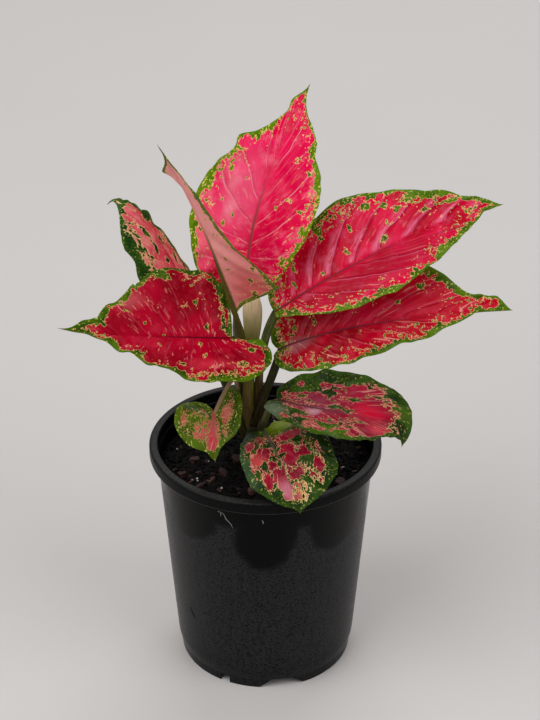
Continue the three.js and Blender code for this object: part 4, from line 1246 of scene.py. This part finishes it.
def fine_height(x, y):
    """The soil's surface with its clods and crumbs."""
    return (soil_height(x, y) + 2.0 * (lumps(3, x, y, 4.2) - 0.5) + 1.3 * (lumps(4, x, y, 1.9) - 0.5)
            + 0.7 * (lumps(5, x, y, 0.95) - 0.5))


def turned(points, a, b, c):
    """Points turned about X, then Y, then Z."""
    ca, sa, cb, sb, cc, sc = (f(v) for v in (a, b, c) for f in (math.cos, math.sin))
    about_x = np.array([[1, 0, 0], [0, ca, -sa], [0, sa, ca]])
    about_y = np.array([[cb, 0, sb], [0, 1, 0], [-sb, 0, cb]])
    about_z = np.array([[cc, -sc, 0], [sc, cc, 0], [0, 0, 1]])
    return points @ (about_z @ about_y @ about_x).T


def taken(made):
    """The points and faces of a bmesh, which is then freed."""
    points = np.array([v.co for v in made.verts])
    faces = [[v.index for v in f.verts] for f in made.faces]
    made.free()
    return points, faces


def ball(level):
    made = bmesh.new()
    bmesh.ops.create_icosphere(made, subdivisions=level, radius=1)
    return taken(made)


def box_grid(steps):
    """A closed box from -1 to 1 with its sides divided."""
    made = bmesh.new()
    bmesh.ops.create_cube(made, size=2)
    bmesh.ops.subdivide_edges(made, edges=made.edges[:], cuts=steps, use_grid_fill=True)
    return taken(made)


def soil_body(radius):
    """The soil's closed body, which fills the pot up to a rough surface."""
    profile = SOIL_UNDERSIDE + [(radius * k / SOIL_RINGS, 0) for k in range(SOIL_RINGS, -1, -1)]
    points, faces = lathe(profile, SOIL_SIDES)
    top = np.arange(len(points)) >= (len(SOIL_UNDERSIDE) - 1) * SOIL_SIDES
    top[-2] = False
    edge = smooth(np.hypot(points[:, 0], points[:, 1]), radius - 1.5, radius)
    height = fine_height(points[:, 0], points[:, 1]) * (1 - edge) + (SOIL_EDGE_HEIGHT - 0.4) * edge
    points[:, 2] = np.where(top, height, points[:, 2])
    return points, faces


def fibre(place, angle, length, bow, radius, rise):
    """A short bent fibre lying on the soil."""
    t = np.linspace(0, 1, 8)
    along_it = (t - 0.5) * length
    arch = 4 * t * (1 - t)
    centre = np.stack([along_it * math.cos(angle) - bow * arch * math.sin(angle),
                       along_it * math.sin(angle) + bow * arch * math.cos(angle),
                       0.3 + rise * arch * 0.5], 1) + place
    inner = np.hypot(centre[:, 0], centre[:, 1])
    centre[:, :2] *= np.minimum(1, FIBRE_LIMIT / np.maximum(inner, 1))[:, None]
    return thread(centre, (0, 0, 1), radius, 5, 0.6)


def make_soil(materials):
    """The soil with its bark chips, perlite, crumbs and root fibres."""
    shell = Shell()
    radius = wall_radius(SOIL_EDGE_HEIGHT) - 1.3
    shell.add(*soil_body(radius), tint=0.2)
    draw = seeded_draws(17)
    rng = np.random.default_rng(5)
    box_points, box_faces = box_grid(4)
    ball_points, ball_faces = ball(2)
    small_points, small_faces = ball(1)

    def rough_chip(size, narrow, tilt):
        """A block of bark, rounded, uneven and narrower at one end."""
        p = box_points.copy()
        squared = p ** 2
        p *= 1 - 0.16 * (squared[:, [1, 2, 0]] * squared[:, [2, 0, 1]])
        shift = rng.uniform(0, 50, 3)
        for k in range(3):
            q = p[:, [k, (k + 1) % 3]] * 1.7 + shift[k]
            p[:, (k + 2) % 3] *= 0.82 + 0.36 * lumps(11 + k, q[:, 0], q[:, 1], 0.8)
        p *= np.asarray(size) / 2
        p[:, 1] *= np.where(p[:, 0] > 0, 1 - (1 - narrow) * p[:, 0] / (size[0] / 2), 1)
        return turned(p, *tilt), box_faces

    def chip():
        size = [4.5 + 5 * next(draw), 3 + 2.5 * next(draw), 1.8 + 1.4 * next(draw)]
        narrow = 0.45 + 0.4 * next(draw)
        tilt = [0.5 * (next(draw) - 0.5), 0.7 * (next(draw) - 0.5), 2 * math.pi * next(draw)]
        return rough_chip(size, narrow, tilt)

    def grain():
        r = 1.1 + 0.7 * next(draw)
        p = ball_points * (r * 0.86)
        dents = lumps(21, p[:, 0] * 3 + r * 31, p[:, 1] * 3 + p[:, 2], 1.6)
        return p * (0.8 + 0.4 * dents)[:, None], ball_faces

    def polar(reach, first, second):
        distance, angle = reach * math.sqrt(first), 2 * math.pi * second
        return distance * math.cos(angle), distance * math.sin(angle)

    def spot(reach):
        x, y = polar(reach, rng.random(), rng.random())
        return np.array([x, y, fine_height(x, y)])

    # The bark chips and perlite of the part's source, in the same places, broken and rounded
    for count, make, sunk, reach, kind in ((CHIPS, chip, 0.4, radius - 6, 1),
                                           (GRAINS, grain, 0.2, radius - 3, 2)):
        placed = 0
        while placed < count:
            x, y = polar(reach, next(draw), next(draw))
            p, f = make()
            if math.hypot(x - CANE_X, y - CANE_Y) > CANE_RADIUS + 7:
                shell.add(p + (x, y, soil_height(x, y) + sunk), f, kind, tint=rng.random())
                placed += 1

    # Smaller chips, crumbs, perlite dust and root fibres that the part's source leaves out
    for _ in range(SMALL_CHIPS):
        place = spot(radius - 3)
        size = [rng.uniform(1.6, 4.6), rng.uniform(1.2, 2.6), rng.uniform(0.7, 1.5)]
        tilt = [rng.uniform(-0.5, 0.5), rng.uniform(-0.5, 0.5), rng.uniform(*ANY_ANGLE)]
        p, f = rough_chip(size, rng.uniform(0.5, 0.9), tilt)
        shell.add(p + place + (0, 0, 0.2), f, 1, tint=rng.random())
    for _ in range(CRUMBS):
        place = spot(radius - 1.2)
        r = rng.uniform(0.35, 1.25)
        p = turned(small_points * (r * rng.uniform(0.6, 1.2, 3)), *rng.uniform(*ANY_ANGLE, 3))
        p = p * rng.uniform(0.82, 1.15, (len(p), 1))
        shell.add(p + place + (0, 0, 0.35 * r), small_faces, 0, tint=rng.random())
    for _ in range(SPECKS):
        place = spot(radius - 2)
        r = rng.uniform(0.3, 0.75)
        p = ball_points * r * rng.uniform(0.75, 1.15, (len(ball_points), 1))
        shell.add(p + place + (0, 0, 0.5 * r), ball_faces, 2, tint=rng.random())
    for _ in range(FIBRES):
        place = spot(radius - 5)
        ranges = (ANY_ANGLE, (3, 9), (-1.5, 1.5), (0.09, 0.2), (0.3, 1.4))
        shell.add(*fibre(place, *(rng.uniform(*ends) for ends in ranges)), tint=1.0)
    return shell.build("fine_soil", materials, 60)


def make_cane(material):
    """The short stem, with a ring scar wherever an old leaf sat."""
    heights = np.linspace(CANE_BOTTOM, CANE_TOP - 0.8, 90)
    share = (heights - CANE_BOTTOM) / (CANE_TOP - CANE_BOTTOM)
    radius = CANE_RADIUS + share * (CANE_TOP_RADIUS - CANE_RADIUS)
    for scar in CANE_SCARS:
        radius += 0.5 * np.exp(-((heights - scar) / 0.8) ** 2)
    profile = [(0, CANE_BOTTOM)] + list(zip(radius, heights))
    profile += [(radius[-1] - 0.3, CANE_TOP - 0.3), (radius[-1] - 0.9, CANE_TOP), (0, CANE_TOP)]
    points, faces = lathe(profile, 40, CANE_X, CANE_Y)
    out = points - (CANE_X, CANE_Y, 0)
    turn = np.arctan2(out[:, 1], out[:, 0])
    swell = 1 + 0.02 * np.sin(3 * turn + 0.12 * points[:, 2]) + 0.012 * np.sin(7 * turn - 0.3 * points[:, 2])
    points[:, :2] = (CANE_X, CANE_Y) + out[:, :2] * swell[:, None]
    shell = Shell()
    shell.add(points, faces)
    return shell.build("fine_cane", [material])


def own(piece, node):
    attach(piece, "root")
    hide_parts(node)


own(make_pot(pot_material()), "pot")
lint = make_lint([lint_material("lint_pale", (176, 174, 170)), lint_material("lint_dark", (12, 12, 12))])
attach(lint, "root")
own(make_soil([peat_material(), bark_material(), perlite_material()]), "soil")
own(make_cane(cane_material()), "cane")
for leaf in LEAVES:
    look = SimpleNamespace(**{**BASE_LOOK, **LOOKS[leaf.name]})
    rib = Rib(leaf)
    shell = Shell()
    add_blade(shell, leaf, rib)
    add_stalk(shell, leaf, rib)
    materials = [
        blade_material(leaf.name + "_upper", look, leaf.seed, False),
        blade_material(leaf.name + "_under", look, leaf.seed, True),
        stalk_material(leaf.name + "_stalk", leaf.seed, **STALK_LOOKS[leaf.name]),
    ]
    own(shell.build("fine_" + leaf.name, materials), leaf.name)

# Floor, lights and camera
bpy.ops.mesh.primitive_plane_add(size=12, location=(0, 2, 0))
floor = bpy.context.object
floor.name = "floor"
floor.data.materials.append(floor_material())


def area_light(name, place, target, size, power):
    data = bpy.data.lights.new(name, "AREA")
    data.shape = "RECTANGLE"
    data.size, data.size_y = size
    data.energy = power
    lamp = bpy.data.objects.new(name, data)
    lamp.location = place
    aim = Vector(target) - Vector(place)
    lamp.rotation_euler = aim.to_track_quat("-Z", "Y").to_euler()
    bpy.context.scene.collection.objects.link(lamp)


area_light("key", (-1.2, -0.9, 1.9), (0, 0, 0.2), (1.9, 1.9), 31)
area_light("fill", (1.6, -1.0, 1.5), (0, 0, 0.2), (1.8, 1.8), 20)
area_light("back", (0.3, 1.9, 2.0), (0, 0.6, 0.1), (2.2, 1.2), 24)

world = bpy.data.worlds.new("soft_room")
bpy.context.scene.world = world
world.use_nodes = True
background = world.node_tree.nodes["Background"]
background.inputs["Color"].default_value = (0.86, 0.86, 0.88, 1)
background.inputs["Strength"].default_value = 0.32

camera_data = bpy.data.cameras.new("camera")
camera_data.lens = 90
camera_data.sensor_width = 36
camera_data.clip_start, camera_data.clip_end = 0.05, 50
camera = bpy.data.objects.new("camera", camera_data)
camera.location = (0.00275, -0.922, 0.720)
camera.rotation_euler = (math.radians(60.66), 0, 0)
bpy.context.scene.collection.objects.link(camera)
bpy.context.scene.camera = camera
bpy.context.scene.view_settings.view_transform = "Standard"
